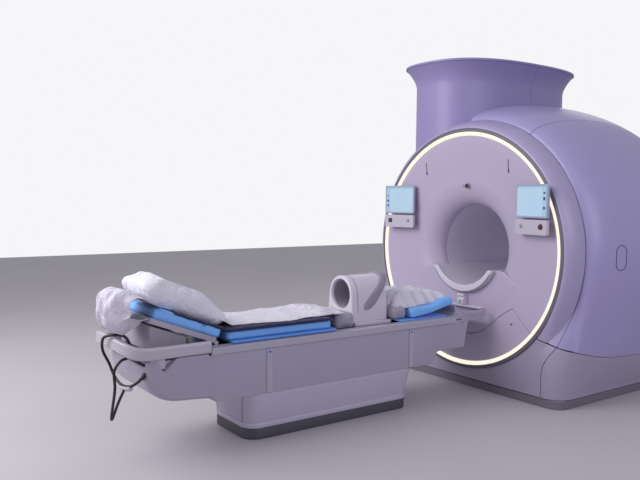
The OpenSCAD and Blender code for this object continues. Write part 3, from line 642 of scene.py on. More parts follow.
FRONT_SEAM = [(0, 0.505), (0.69, 0.505), (0.785, 0.473), (0.879, 0.447), (0.972, 0.424), (1.2, 0.38)]
SIDE_SEAM = [(-0.70, 0.416), (-0.65, 0.403), (-0.60, 0.3915), (-0.55, 0.381), (-0.50, 0.371),
             (-0.45, 0.362), (-0.40, 0.354), (-0.35, 0.348), (-0.30, 0.343), (-0.20, 0.335), (-0.10, 0.330),
             (0.05, 0.326), (0.30, 0.322), (0.9, 0.316)]
CORNER_SEAM = [(0.07, 0.780), (0.25, 0.781), (0.29, 0.789), (0.33, 0.805), (0.37, 0.829), (0.41, 0.855),
               (0.447, 0.879), (0.50, 0.896), (0.55, 0.909), (0.60, 0.9225), (0.66, 0.9405), (0.72, 0.9565),
               (HIP_Z, 0.9648)]
SEAM_RISE = 0.031
TOP_TURN = radians(59)
STATIONS = [-0.6955, -0.692, -0.68, -0.65, -0.6, -0.53, -0.45, -0.35, -0.25, -0.12, 0, 0.13, 0.25, 0.36,
            0.46, 0.55, 0.63, 0.70, 0.75, 0.79, 0.815, 0.832, REAR_FACE]
BASE_STATIONS = [-0.66, -0.6, -0.5, -0.4, -0.3, -0.15, 0, 0.2, 0.4, 0.55, 0.65, 0.72, 0.745, 0.77, 0.79,
                 0.81, 0.822, 0.8295]


def side_edge(z):
    """x of the seam between surround and side cover, and of the corner seam below it."""
    if z >= SHOULDER_Z:
        return outline_x(z)
    if z >= HIP_Z:
        return sqrt(SEAM_R ** 2 - (z - ISO) ** 2)
    return min(along(CORNER_SEAM, z), outline_x(z))


def seam_share(z):
    """Share of its rise that the front seam has at the outline's height z: none at 0.834, all at 0.424."""
    return smooth(0.834 - z, 0, 0.41)


def section_row(y, top, foot, side, cols):
    """Points down the outline at y, from one length along it to another."""
    s = Section(y)
    return [(side * s.at(lerp(top, foot, v))[0], y, s.at(lerp(top, foot, v))[1]) for v in cols]


def side_cover(side):
    """Bulging cover from the front seam to the rear, with the strip of the rear face it ends in."""
    cols = spread(0, 1, 40)
    rows = []
    t0 = FIRST.r * (pi / 2 - TOP_TURN) + GAP / 2
    first = [FIRST.at(lerp(t0, FIRST.down_to(LOW_EDGE + GAP / 2), v)) for v in cols]
    for u in spread(0, 1, 5):
        row = []
        for x1, z1 in first:
            zq = z1 + SEAM_RISE * seam_share(z1)
            xq = min(x1, side_edge(zq) + 0.0006)
            x, z = lerp(xq, x1, u), lerp(zq, z1, u)
            y = front_depth(x, z) if z < SHOULDER_Z else SEAM
            row.append((side * x, min(lerp(y + 0.0042, SEAM + 0.0015, u ** 3), SEAM + 0.0015), z))
        rows.append(row)
    for y in STATIONS:
        s = Section(y)
        top, foot = s.r * (pi / 2 - TOP_TURN) + GAP / 2, s.down_to(along(SIDE_SEAM, y) + GAP / 2)
        rows.append(section_row(y, top, foot, side, cols))
    last = Section(REAR_FACE)
    wall = []
    for z in spread(0.319, last.tangent[1] - 0.004, 20):
        x1 = last.at(last.down_to(z))[0]
        x0 = min(x1, sqrt(max(0, REAR_PANEL_R ** 2 - (z - ISO) ** 2)))
        wall.append([(side * lerp(x0, x1, u), REAR_FACE, z) for u in (0, 0.5, 1)])
    piece(with_side("cover.side_", side), joined(lattice(rows), lattice(wall)), shaded_body_paint, FIXED,
          with_side("side_cover_", side), "cover_body", solid=0.012, bevel=0.0025, outward=AXIS, sharp=50)


def hatch(side):
    """Outline of the small round-ended hatch, let into the side cover."""
    mid_y, mid_z, straight, r = -0.460, 1.093, 0.041, 0.047
    ring = []
    for a in full_turn(64):
        z = mid_z + (straight if sin(a) > 0 else -straight) + r * sin(a)
        y = mid_y + r * cos(a)
        s = Section(y)
        ring.append(Vector((side * (s.at(s.down_to(z))[0] + 0.0004), y, z)))
    ring.append(ring[0])
    piece(with_side("cover.hatch_seam_", side), swept(ring, 0.0022, n=6), seam_and_shade_dark, FIXED,
          slot="cover_body")


def top_cover():
    """Cover over the bore's top, between the two side covers."""
    rows = []
    for y in [FIRST_EDGE] + STATIONS:
        r = skin_radius(y)
        half = pi / 2 - TOP_TURN - GAP / 2 / r
        rows.append([(r * sin(a), y, ISO + r * cos(a)) for a in spread(-half, half, 36)])
    piece("cover.top", lattice(rows), shaded_body_paint, FIXED, "top_cover", "cover_body", solid=0.012,
          bevel=0.0025, outward=AXIS, sharp=50)


def front_surround():
    """Rounded shoulder between the light ring and the covers, above the two lower seams."""
    t_end = FIRST.down_to(LOW_EDGE)
    half = []
    for v in spread(0, 1, 70):
        x1, z1 = FIRST.at(t_end * v)
        zq = z1 + (SEAM_RISE + GAP) * seam_share(z1)
        xq = min(x1, side_edge(zq)) if z1 < SHOULDER_Z else x1
        phi = atan2(zq - ISO, xq)
        phi -= radians(3.0) * smooth(-5 - degrees(phi), 0, 31)
        half.append(((xq, zq), (RIM_R * cos(phi), ISO + RIM_R * sin(phi))))
    rows = []
    for i in range(13):
        u = i / 12
        line = []
        for (xq, zq), (xi, zi) in half:
            x, z = lerp(xi, xq, u), lerp(zi, zq, u)
            line.append((x, front_depth(x, z), z))
        rows.append([(-x, y, z) for x, y, z in reversed(line[1:])] + line)
    piece("cover.surround", lattice(rows), shoulder_paint, FIXED, "front_surround", "cover_body",
          solid=0.010, bevel=0.002, outward=FROM_REAR, sharp=50)


def base_front():
    """Cover under the ring, between the two corner seams."""
    columns = []
    half = 0.7335
    limit = asin(half / RIM_R)
    for a in spread(-limit, limit, 48):
        x = RIM_R * sin(a)
        columns.append([(x, lerp(PLINTH, ISO - RIM_R * cos(a), v)) for v in spread(0, 1, 20)])
    ends = []
    for u in spread(0, 1, 8)[1:]:
        col = []
        for v in spread(0, 1, 20):
            x = half
            for _ in range(3):
                z = lerp(PLINTH, along(FRONT_SEAM, x) - GAP / 2, v)
                x = lerp(half, along(CORNER_SEAM, z) - GAP / 2, u)
            col.append((x, z))
        ends.append(col)
    columns = [[(-x, z) for x, z in col] for col in reversed(ends)] + columns + ends
    rows = [[(x, front_depth(x, z), z) for x, z in col] for col in columns]
    piece("cover.base_front", lattice(rows), base_paint, FIXED, "base_cover_front", "cover_base",
          solid=0.010, bevel=0.002, outward=FROM_REAR, sharp=50)


def base_side(side):
    """Base cover from the corner seam round the side to the middle of the rear."""
    cols = spread(0, 1, 14)
    rows = []
    first = [FIRST.at(lerp(FIRST.down_to(LOW_EDGE - GAP / 2), FIRST.down_to(PLINTH), v)) for v in cols]
    for u in spread(0, 1, 9):
        row = []
        for v, (x1, z1) in zip(cols, first):
            zq = z1 + SEAM_RISE * (1 - v)
            xq = along(CORNER_SEAM, zq) + GAP / 2
            x, z = lerp(xq, x1, u), lerp(zq, z1, u)
            row.append((side * x, front_depth(x, z), z))
        rows.append(row)
    for y in BASE_STATIONS:
        s = Section(y)
        rows.append(section_row(y, s.down_to(along(SIDE_SEAM, y) - GAP / 2), s.down_to(PLINTH), side, cols))
    last = Section(BASE_END)
    for u in spread(0, 1, 24):
        row = []
        for v in cols:
            z = lerp(0.317 - GAP / 2, PLINTH, v)
            x1 = last.at(last.down_to(z))[0]
            x = lerp(x1, 0.002, u)
            z = min(z, lerp(ISO - sqrt(REAR_PANEL_R ** 2 - x * x), PLINTH, v)) if x < 0.9 else z
            row.append((side * x, min(REAR_FACE, 0.832 + 0.3 * u), z))
        rows.append(row)
    piece(with_side("cover.base_", side), lattice(rows), base_paint, FIXED,
          with_side("base_cover_", side), "cover_base", solid=0.012, bevel=0.002, outward=AXIS, sharp=50)


def gantry_plinth():
    """Dark skirting that the gantry stands on."""
    line = rounded(2 * 0.930, 1.640, 0.100, 12)
    inner = rounded(2 * 0.921, 1.622, 0.092, 12)
    part = stack([(line, 0.0), (line, 0.058), (inner, 0.0695)])
    piece("plinth.gantry", part, plinth_vinyl, FIXED, "gantry_plinth", "plinth", bevel=0.003)


def light_ring():
    """Opal band with its rim, in an upper and a lower piece; the rim's dark grey is painted shade."""
    profile = [(0.8968, -0.838), (0.8972, -0.8415), (0.901, -0.8445), (0.912, -0.849), (0.922, -0.8500),
               (0.9262, -0.8485), (0.927, -0.845), (0.927, -0.826), (0.8968, -0.822)]
    closed = profile + [profile[0]]
    piece("ring.light_upper", capped(turned(closed, 220, -39.4, 219.4)), ring_light, FIXED,
          "light_ring_upper", "light")
    piece("ring.light_lower", capped(turned(closed, 90, -139.8, -40.2)), ring_light, FIXED,
          "light_ring_lower", "light")
    # The rim is painted dark grey: painted shade of the ring's raised side wall
    rim = [(0.9275, -0.8495), (0.930, -0.8500), (0.936, -0.8490), (0.9515, -0.8440), (0.9525, -0.8410),
           (0.9525, -0.815), (0.9275, -0.815), (0.9275, -0.8495)]
    piece("ring.rim", turned(rim, 240), rim_shade_and_mark_grey, FIXED, slot="cover_body", sharp=50)


def capped(part):
    """Closes both ends of a turned strip whose profile is closed."""
    points, faces = part
    count = len(points)
    places = [(hypot(x, z - ISO), y) for x, y, z in points]
    width = next(k for k, (r, y) in enumerate(places)
                 if abs(r - places[0][0]) > 1e-6 or abs(y - places[0][1]) > 1e-6)
    starts = tuple(range(0, count - width, width))
    return points, faces + [starts, tuple(i + width - 1 for i in reversed(starts))]


def dish_depth(r):
    """y of the dish at a radius: the bore's flare, then nearly level out to the ring."""
    if r < FLARE_R:
        a = pi / 2 - asin(max(0.0, min(1.0, (FLARE_R - r) / 0.21)))
        return -0.65 - 0.150 * sin(a)
    return -0.80 - 0.036 * smooth(r, FLARE_R, DISH_R) * 0.35 - 0.036 * (r - FLARE_R) / 0.3367 * 0.65


BORE_R, FLARE_R, DISH_R = 0.350, 0.56, 0.8967
PANEL_END = 49.7
PANEL_SEAM = [(0.0, 0.681), (8.0, 0.679), (15.3, 0.669), (24.0, 0.645), (33.6, 0.620), (41.0, 0.621),
              (46.0, 0.634), (PANEL_END, 0.650)]


def panel_seam(turn):
    """Radius of the seam over the lower access panel, by degrees from straight down."""
    return along(PANEL_SEAM, min(abs(turn), PANEL_END))


def dish_rows(inner, outer, turns, n):
    """Grid of the dish between two radii, which may change with the turn."""
    rows = []
    for t in turns:
        a = radians(t - 90)
        r0, r1 = inner(t), outer(t)
        rows.append([(r * cos(a), dish_depth(r), ISO + r * sin(a)) for r in spread(r0, r1, n)])
    return rows


def front_dish():
    """Front panel: the upper part carries the slots and the window, the lower one opens below its seam."""
    bends = [BORE_R + 0.21 * (1 - cos(radians(a))) for a in range(0, 91, 5)]
    levels = bends + spread(FLARE_R, DISH_R, 14)[1:]
    rows = [[(r * cos(a), dish_depth(r), ISO + r * sin(a)) for a in full_turn(200)] for r in levels]
    dish = piece("panel.front", lattice(rows, close_columns=True), front_paint, FIXED, "front_panel",
                 "cover_front", solid=0.012, outward=FROM_REAR, sharp=50)
    settled(dish)
    wedge = [(panel_seam(t) * sin(radians(t)), ISO - panel_seam(t) * cos(radians(t)))
             for t in spread(-PANEL_END, PANEL_END, 40)]
    edge = [(0.93 * sin(radians(t)), ISO - 0.93 * cos(radians(t)))
            for t in (PANEL_END, 30, 15, 0, -15, -30, -PANEL_END)]
    cut = prism(wedge + edge, -0.95, -0.70, "y")
    slot_x, slot_z = 0.433, 1.746
    slots = [prism(rounded(0.009, 0.100, 0.0045, 6, s * slot_x, slot_z), -0.86, -0.81, "y")
             for s in (LEFT, RIGHT)]
    window = prism(rounded(0.036, 0.036, 0.0179, 10, 0.012, 1.600), -0.86, -0.785, "y")
    carved(dish, cut, *slots, window)
    shade(dish.data, 50)
    lower = dish_rows(lambda t: panel_seam(t) + 0.004, lambda t: DISH_R, spread(-49.45, 49.45, 60), 14)
    piece("panel.front_lower", lattice(lower), front_paint, FIXED, "lower_front_panel", "cover_front",
          solid=0.010, bevel=0.0015, outward=FROM_REAR, sharp=50)
    backing = dish_rows(lambda t: 0.60, lambda t: 0.89, spread(-54, 54, 40), 4)
    piece("panel.seam_backing", lattice([[(x, y + 0.014, z) for x, y, z in row] for row in backing]),
          seam_and_shade_dark, FIXED, slot="cover_front", outward=FROM_REAR)
    # Dark plates at the bottoms of the slots: painted shade in the shallow recesses
    for s in (LEFT, RIGHT):
        ground = prism(rounded(0.013, 0.104, 0.0065, 6, s * slot_x, slot_z), -0.822, -0.815, "y")
        piece(with_side("slot.", s), ground, seam_and_shade_dark, FIXED, slot="cover_front", bevel=0.001)
    rim = [(0.018, -0.812), (0.016, -0.8135), (0.014, -0.812), (0.0138, -0.805)]
    lens = [(0.0145, -0.806), (0.010, -0.8085), (0.0001, -0.810)]
    piece("window.cell", joined(*[turned(line, 32, centre=(0.012, 0, 1.6)) for line in (rim, lens)]),
          button_black, FIXED, slot="cover_front")
    ticks = [prism(rounded(w, 0.006, 0.0028, 4, x, z), -0.8085, -0.806, "y")
             for w, x, z in ((0.014, -0.024, 1.606), (0.008, -0.026, 1.594), (0.005, -0.038, 1.600))]
    piece("window.marks", joined(*ticks), rim_shade_and_mark_grey, FIXED, slot="cover_front")
    dot = turned([(0.0075, -0.826), (0.0065, -0.8285), (0.0001, -0.829)], 20, centre=(0.497, 0, 0.560))
    piece("panel.catch", dot, rim_shade_and_mark_grey, FIXED, slot="cover_front")


def bore():
    """Liner with its rounded mouth, the line round it, and the rear panel that flares from it."""
    mouth = [(0.3535, -0.645), (0.352, -0.6485), (BORE_R, -0.649), (0.3495, -0.64)]
    tunnel = [(BORE_R, y) for y in spread(-0.6, 0.62, 8)] + [(BORE_R, 0.639)]
    piece("bore.liner", turned(mouth + tunnel, 160), liner_gloss, FIXED, "bore_liner", "liner",
          solid=0.008, outward=FROM_FRONT, push=1)
    line = [(0.3515, -0.6515), (0.3535, -0.6535), (0.3555, -0.6525), (0.3545, -0.650)]
    piece("bore.mouth_line", turned(line, 160), seam_and_shade_dark, FIXED, slot="liner")
    profile = [(BORE_R, 0.640), (0.354, 0.690), (0.366, 0.735), (0.386, 0.775), (0.42, 0.81), (0.47, 0.835),
               (0.54, 0.845), (0.70, 0.848), (0.90, 0.8495), (0.965, 0.850), (0.9725, 0.8485),
               (0.974, 0.845)]
    piece("panel.rear", turned(profile, 180), shaded_body_paint, FIXED, "rear_panel", "cover_body", solid=0.008,
          outward=FROM_FRONT, push=-1)


CREASE = [(0.0, 0.9452), (0.382, 0.9452), (0.395, 0.9415), (0.410, 0.9325), (0.553, 0.823), (0.70, 0.70)]


def crease_turn(r):
    """Turn at which the shoulder's upper edge meets a radius: level by the trough, then falling."""
    lo, hi = -1.4, 0.0
    for _ in range(30):
        a = (lo + hi) / 2
        lo, hi = (a, hi) if ISO + r * sin(a) < along(CREASE, r * cos(a)) else (lo, a)
    return lo


def bore_bridge():
    """Round-bottomed trough on the bore's floor, with a raised lip in front and a flat ledge on each side."""
    deck, r, trough_half, trough_deep = 0.945, 0.3497, 0.270, 0.140
    tr = (trough_half ** 2 + trough_deep ** 2) / (2 * trough_deep)
    cz = deck - trough_deep + tr
    edge_turn = asin((deck - ISO) / r)
    outer = [(r * cos(a), ISO + r * sin(a)) for a in spread(edge_turn, -pi - edge_turn, 48)]
    b0 = asin(trough_half / tr)
    inner = [(tr * sin(b), cz - tr * cos(b)) for b in spread(-b0, b0, 40)]
    piece("bridge.trough", prism(outer + inner, -0.826, 0.70, "y"), bridge_white, FIXED, "bridge", "liner",
          bevel=0.003)
    piece("bridge.lip", prism(outer + [(x * 0.985, z + 0.002) for x, z in inner], -0.842, -0.820, "y"),
          bridge_white, FIXED, slot="liner", bevel=0.008, steps=4)
    rows = []
    for r in [0.3497, 0.358, 0.368, 0.38, 0.392, 0.405, 0.42, 0.44, 0.46, 0.48, 0.50, 0.52, 0.54, 0.555,
              0.563]:
        a0 = crease_turn(r)
        top, level = ISO + r * sin(a0), -0.8005 - 0.0008 * (r < 0.56)
        back = dish_depth(r) + 0.010
        row = [(cos(a0) * r, y, top) for y in (back, lerp(back, level, 0.5), level + 0.005)]
        for drop, sink in ((0.0012, 0.0015), (0.005, 0.0)):
            a = asin((top - drop - ISO) / r)
            row.append((r * cos(a), min(back, level + sink), top - drop))
        a1 = asin((top - 0.010 - ISO) / r)
        row += [(r * cos(a), min(back, level), ISO + r * sin(a)) for a in spread(a1, -pi / 2, 24)]
        rows.append(row + [(-x, y, z) for x, y, z in reversed(row[:-1])])
    piece("bridge.shoulder", lattice(rows), front_paint, FIXED, slot="liner", outward=(0, 1.5, 0.6), sharp=60)
    around = [(0.3440 * cos(a), -0.8418, ISO + 0.3440 * sin(a))
              for a in spread(edge_turn - 0.10, -pi - edge_turn + 0.10, 60)]
    piece("bridge.lip_seam", swept(around, 0.0024, n=6), seam_and_shade_dark, FIXED, slot="liner")
    # The ledge's hole is a thin dark disc on its top: painted shade in place of a hole
    hole = [(0.372 + 0.012 * cos(a), -0.786 + 0.008 * sin(a)) for a in full_turn(20)]
    piece("bridge.ledge_hole", prism(hole, 0.9422, 0.9462, "z"), seam_and_shade_dark, FIXED, slot="liner")


def docking_latch():
    """Hook under the bridge, on a narrow shelf."""
    z0 = 0.640
    body = prism([(-0.846, z0 + 0.010), (-0.850, z0 + 0.020), (-0.850, z0 + 0.052), (-0.836, z0 + 0.060),
                  (-0.836, z0 + 0.074), (-0.850, z0 + 0.080), (-0.848, z0 + 0.096), (-0.796, z0 + 0.100),
                  (-0.796, z0)], -0.034, 0.034)
    shelf = prism(rounded(0.420, 0.046, 0.010, 4, 0, -0.822), z0 - 0.004, z0 + 0.009, "z")
    piece("latch.hook", joined(body, shelf), bridge_white, FIXED, "docking_latch", "latch_grey", bevel=0.003)
    # The hook's eye is a shallow cup in dark grey: painted shade of a hole
    eye = [(0.0115, -0.8505), (0.0085, -0.8512), (0.008, -0.847), (0.0001, -0.846)]
    piece("latch.eye", turned(eye, 24, centre=(0, 0, z0 + 0.034)), seam_and_shade_dark, FIXED, slot="latch_grey")


def shroud():
    """Column of rounded plan from the covers to the ceiling, with its flared edge and one upright joint."""
    cx, cy, a, b, neck, top = -0.380, -0.100, 0.435, 0.740, 2.44, 2.600

    def plan(k, grow=0.0):
        c, s = cos(2 * pi * k / 160), sin(2 * pi * k / 160)
        return (cx + (a + grow) * (1 if c > 0 else -1) * abs(c) ** 0.77,
                cy + (b + grow) * (1 if s > 0 else -1) * abs(s) ** 0.77)

    def foot(x, y):
        y = max(y, -0.83)
        r = skin_radius(y) if y > SEAM else lerp(0.944, SEAM_R, sqrt(max(0, (y + 0.846) / 0.146)))
        return ISO + sqrt(max(0.05, r * r - x * x)) - 0.012

    for name, ks in {"front": range(80, 161), "rear": range(0, 81)}.items():
        rows = []
        for u in spread(0, 1, 10):
            rows.append([(*plan(k), lerp(foot(*plan(k)), neck, u)) for k in ks])
        for u in spread(0, 1, 10)[1:]:
            rows.append([(*plan(k, 0.080 * u ** 1.7), lerp(neck, top, u)) for k in ks])
        shift = 0.002 if name == "rear" else -0.002
        part = lattice([[(x, y + shift, z) for x, y, z in row] for row in rows])
        piece("shroud." + name, part, shroud_paint, FIXED, "shroud_" + name, "shroud", solid=0.008,
              bevel=0.0015, outward=(cx, cy, 2.2), sharp=50)
    edge = [(-0.04, 2.6005), (0.086, 2.6005), (0.091, 2.604), (0.091, 2.617), (0.087, 2.6195),
            (-0.04, 2.6195)]
    ring = [[(*plan(k, g), z) for k in range(160)] for g, z in edge]
    piece("shroud.flange", lattice(ring + [ring[0]], close_columns=True), shroud_paint, FIXED,
          "shroud_flange", "shroud", bevel=0.001)


# Displays

def at_display(side):
    return Matrix.Translation((side * 0.699, -0.890, 1.485)) @ Matrix.Rotation(radians(-9 * side), 4, "Z")


def plate(w, h, y0, y1, r, x=0.0, z=0.0):
    return prism(rounded(w, h, r, 6, x, z), y0, y1, "y")


def display(side):
    """Screen in its housing, and below it the control box with its two round buttons."""
    here, tag = at_display(side), with_side("", side)
    w, h, drop = 0.318, 0.242, 0.187
    glass_w, glass_h = w - 0.028, h - 0.028
    outer, lip = rounded(w, h, 0.012), rounded(w - 0.008, h - 0.008, 0.009)
    inner, seat = rounded(w - 0.022, h - 0.022, 0.005), rounded(w - 0.026, h - 0.026, 0.004)
    steps = [(seat, 0.0035), (seat, 0.0006), (inner, 0.0), (lip, 0.0), (outer, 0.0035), (outer, 0.022),
             (lip, 0.026)]
    shell = tube([[(x, y, z) for x, z in line] for line, y in steps])
    arm = prism(rounded(0.140, 0.096, 0.018, 5, 0, -0.052), 0.024, 0.098, "y")
    piece("display.housing_" + tag, moved(joined(shell, arm), here), display_silver, FIXED,
          "display_housing_" + tag, "display_grey", bevel=0.0012)
    glass = piece("display.screen_" + tag, moved(plate(glass_w, glass_h, 0.0016, 0.0034, 0.004), here),
                  screen_glass, FIXED, "display_screen_" + tag, "screen")
    layer = glass.data.uv_layers.new(name="page")
    back = here.inverted()
    for loop in glass.data.loops:
        p = back @ glass.data.vertices[loop.vertex_index].co
        layer.data[loop.index].uv = (p.x * side / glass_w + 0.5, p.z / glass_h + 0.5)
    sizes = {RIGHT: ((0.014, 0.058), (0.024, 0.018), (0.020, -0.048)),
             LEFT: ((0.020, -0.010), (0.018, -0.052), (0.008, 0.030))}[side]
    icons = [plate(0.019, high, 0.0010, 0.0022, 0.003, side * 0.127, z) for high, z in sizes]
    piece("display.icons_" + tag, moved(joined(*icons), here), icon_blue, FIXED, slot="screen")
    box_part = joined(plate(0.314, 0.108, 0.0, 0.026, 0.014, 0, -drop),
                      prism(rounded(0.120, 0.022, 0.004, 3, 0, -0.125), 0.006, 0.020, "y"))
    control = piece("controls.box_" + tag, moved(box_part, here), control_white, FIXED,
                    "control_box_" + tag, "display_grey")
    across, button_z = side * 0.098, -0.181
    wells = [moved(plate(2 * r, 2 * r, -0.01, 0.0145, r - 0.0001, x, button_z), here)
             for x, r in ((-across, 0.0135), (across, 0.0205))]
    carved(control, *wells)
    mod = control.modifiers.new("edge", "BEVEL")
    mod.width, mod.segments, mod.limit_method, mod.harden_normals = 0.003, 3, "ANGLE", True
    push = [(0.0001, -0.0068), (0.006, -0.0067), (0.0105, -0.0062), (0.0122, -0.0045), (0.0125, -0.002),
            (0.0125, 0.008)]
    stop = [(0.0001, -0.0110), (0.009, -0.0107), (0.0150, -0.0092), (0.0185, -0.0065), (0.0195, -0.003),
            (0.0195, 0.008)]
    stop_finish = button_red if side > 0 else button_black
    for kind, line, n, x, finish, slot in (("push", push, 32, -across, button_grey, "button_grey"),
                                           ("stop", stop, 40, across, stop_finish, "button_stop")):
        spot = here @ Matrix.Translation((x, 0, button_z))
        node = kind + "_button_" + tag
        piece("controls." + kind + "_" + tag, moved(turned(line, n, centre=(0, 0, 0)), spot), finish,
              node + "_body", node, slot)


# Table

RAIL_OUT, RAIL_IN, RAIL_TOP, TOP_Z = 0.300, 0.256, 0.621, 0.577
COVER_HALF, FRAME_TOP = 0.290, 0.5767
PLINTH_ENDS, COVER_ENDS, RAIL_ENDS = (-2.937, -1.610), (-3.180, -1.430), (-3.211, -1.200)
BLOCK_Y, NOSE_Y = -1.058, -0.862


def on_side(part, side, x, y, z):
    """A turned part set upright on a side face of the table."""
    return moved(part, Matrix.Translation((side * x, y, z)) @ Matrix.Rotation(radians(90 * side), 4, "Z"))


def level_block(w, y0, y1, r, levels, n=8):
    """Block with rounded corners through levels of (z, growth)."""
    return stack([(rounded(w + 2 * g, y1 - y0 + 2 * g, r + g, n, 0, (y0 + y1) / 2), z) for z, g in levels])


def table_base():
    """Plinth and lower cover, with a joint down each rounded corner."""
    y0, y1 = PLINTH_ENDS
    foot = [(0, -0.004), (0.004, 0), (0.064, 0), (0.0697, -0.004)]
    piece("table.plinth", level_block(0.490, y0, y1, 0.100, foot, 12), table_plinth_vinyl, FIXED,
          "table_plinth", "plinth")
    lip = [(0.070, -0.002), (0.0715, 0.002), (0.074, 0.004), (0.099, 0.004), (0.1025, 0.002), (0.104, -0.004)]
    part = level_block(0.490, y0, y1, 0.098, lip, 12)
    piece("table.lower_cover", part, lit_lower_paint, FIXED, "lower_cover", "table_cover")
    rows = []
    for u in spread(0, 1, 8):
        w, l = lerp(0.482, 0.564, u), lerp(1.323, 1.362, u)
        rows.append((rounded(w, l, 0.094, 12, 0, (y0 + y1) / 2), lerp(0.103, 0.292, u)))
    rows.append((rounded(0.560, 1.358, 0.092, 12, 0, (y0 + y1) / 2), 0.2968))
    piece("table.lower_body", stack(rows), lit_lower_paint, FIXED, slot="table_cover")
    for side in (LEFT, RIGHT):
        for end, name in ((-1, "foot"), (1, "head")):
            line = []
            for u in spread(0, 1, 4):
                a, w, l = radians(lerp(80, 85, u)), lerp(0.241, 0.282, u), lerp(0.6615, 0.681, u)
                y = (y0 + y1) / 2 + end * (l - 0.094 + 0.0942 * sin(a))
                line.append((side * (w - 0.094 + 0.0942 * cos(a)), y, lerp(0.104, 0.2925, u)))
            piece(with_side("table.lower_seam_", side) + "_" + name, swept(line, 0.0018, n=6), seam_and_shade_dark,
                  FIXED, slot="table_cover")


def upper_cover():
    """Upper cover of the table, with the corner strips and their blue plugs."""
    y0, y1 = COVER_ENDS
    levels = [(0.300, -0.0005), (0.3005, 0), (0.5755, 0), (FRAME_TOP, -0.0005)]
    piece("table.upper_cover", level_block(2 * COVER_HALF, y0, y1, 0.0010, levels), table_paint, LIFT,
          "upper_cover", "table_cover")
    strips, plugs = [], []
    for side in (LEFT, RIGHT):
        for y in (-2.816, -1.646):
            strips.append(prism(rounded(0.040, 0.270, 0.004, 3, y, 0.4385), side * 0.284, side * 0.2965))
            plug = turned([(0.0001, -0.0022), (0.006, -0.002), (0.0085, -0.001), (0.009, 0.002)], 24,
                          centre=(0, 0, 0))
            plugs.append(on_side(plug, side, 0.2965, y, 0.5545))
    piece("table.strips", joined(*strips), table_white, LIFT, "corner_strips", "table_cover", bevel=0.002)
    piece("table.strip_plugs", joined(*plugs), plug_blue, LIFT, slot="table_cover")


def end_cover():
    """Cover of the free end: a rising belly, an end rounded in plan and a recess across its top."""
    belly = [(-3.6100, 0.530), (-3.6085, 0.500), (-3.600, 0.467), (-3.585, 0.434), (-3.568, 0.4075),
             (-3.553, 0.3915), (-3.538, 0.3785), (-3.516, 0.3635), (-3.495, 0.353), (-3.468, 0.344),
             (-3.443, 0.3385), (-3.425, 0.3355), (-3.40, 0.3325), (-3.30, 0.3265), (-3.229, 0.3200),
             (-3.224, 0.3195), (-3.1720, 0.3105)]
    top = [(-3.1720, 0.5762, 0.5762), (-3.2240, 0.5765, 0.5765), (-3.2290, 0.5765, 0.5870),
           (-3.30, 0.5765, 0.5880), (-3.40, 0.5765, 0.5880), (-3.425, 0.5765, 0.5850),
           (-3.443, 0.571, 0.5700), (-3.468, 0.556, 0.5500), (-3.495, 0.538, 0.5310),
           (-3.516, 0.527, 0.5205), (-3.538, 0.5205, 0.5165), (-3.556, 0.530, 0.5215),
           (-3.574, 0.542, 0.5400), (-3.588, 0.549, 0.5620), (-3.597, 0.552, 0.5760),
           (-3.6040, 0.553, 0.5800), (-3.6085, 0.552, 0.5740)]
    outline = [(y, z, z) for y, z in belly] + top
    half = [0, 0.12, 0.20, 0.240, 0.2565, 0.2605, 0.266, 0.274, 0.2815, 0.2870, 0.2893, 0.2897]
    rows = []
    for x in [-x for x in reversed(half[1:])] + half:
        q = max(0.0, (abs(x) - 0.222) / 0.068)
        inset = 0.068 * (1 - sqrt(max(0.0, 1 - q * q)))
        cheek = smooth(abs(x), 0.2565, 0.2605)
        row = []
        for y, inner, outer in outline:
            under = inner == outer and y < -3.19
            lift = 0.020 * q ** 4 if under and inner < 0.45 and y > -3.58 else 0
            row.append((x, y + inset * smooth(-y, 3.42, 3.60), lerp(inner, outer, cheek) + lift))
        rows.append(row)
    points, faces = lattice(rows, close_columns=True)
    last = len(outline) - 1
    for start in (0, len(points) - last - 1):
        faces += [(start + i, start + i + 1, start + last - i - 1, start + last - i)
                  for i in range(last // 2)]
    part = points, faces
    piece("table.end_cover", part, table_paint, LIFT, "end_cover", "table_cover", bevel=0.004)


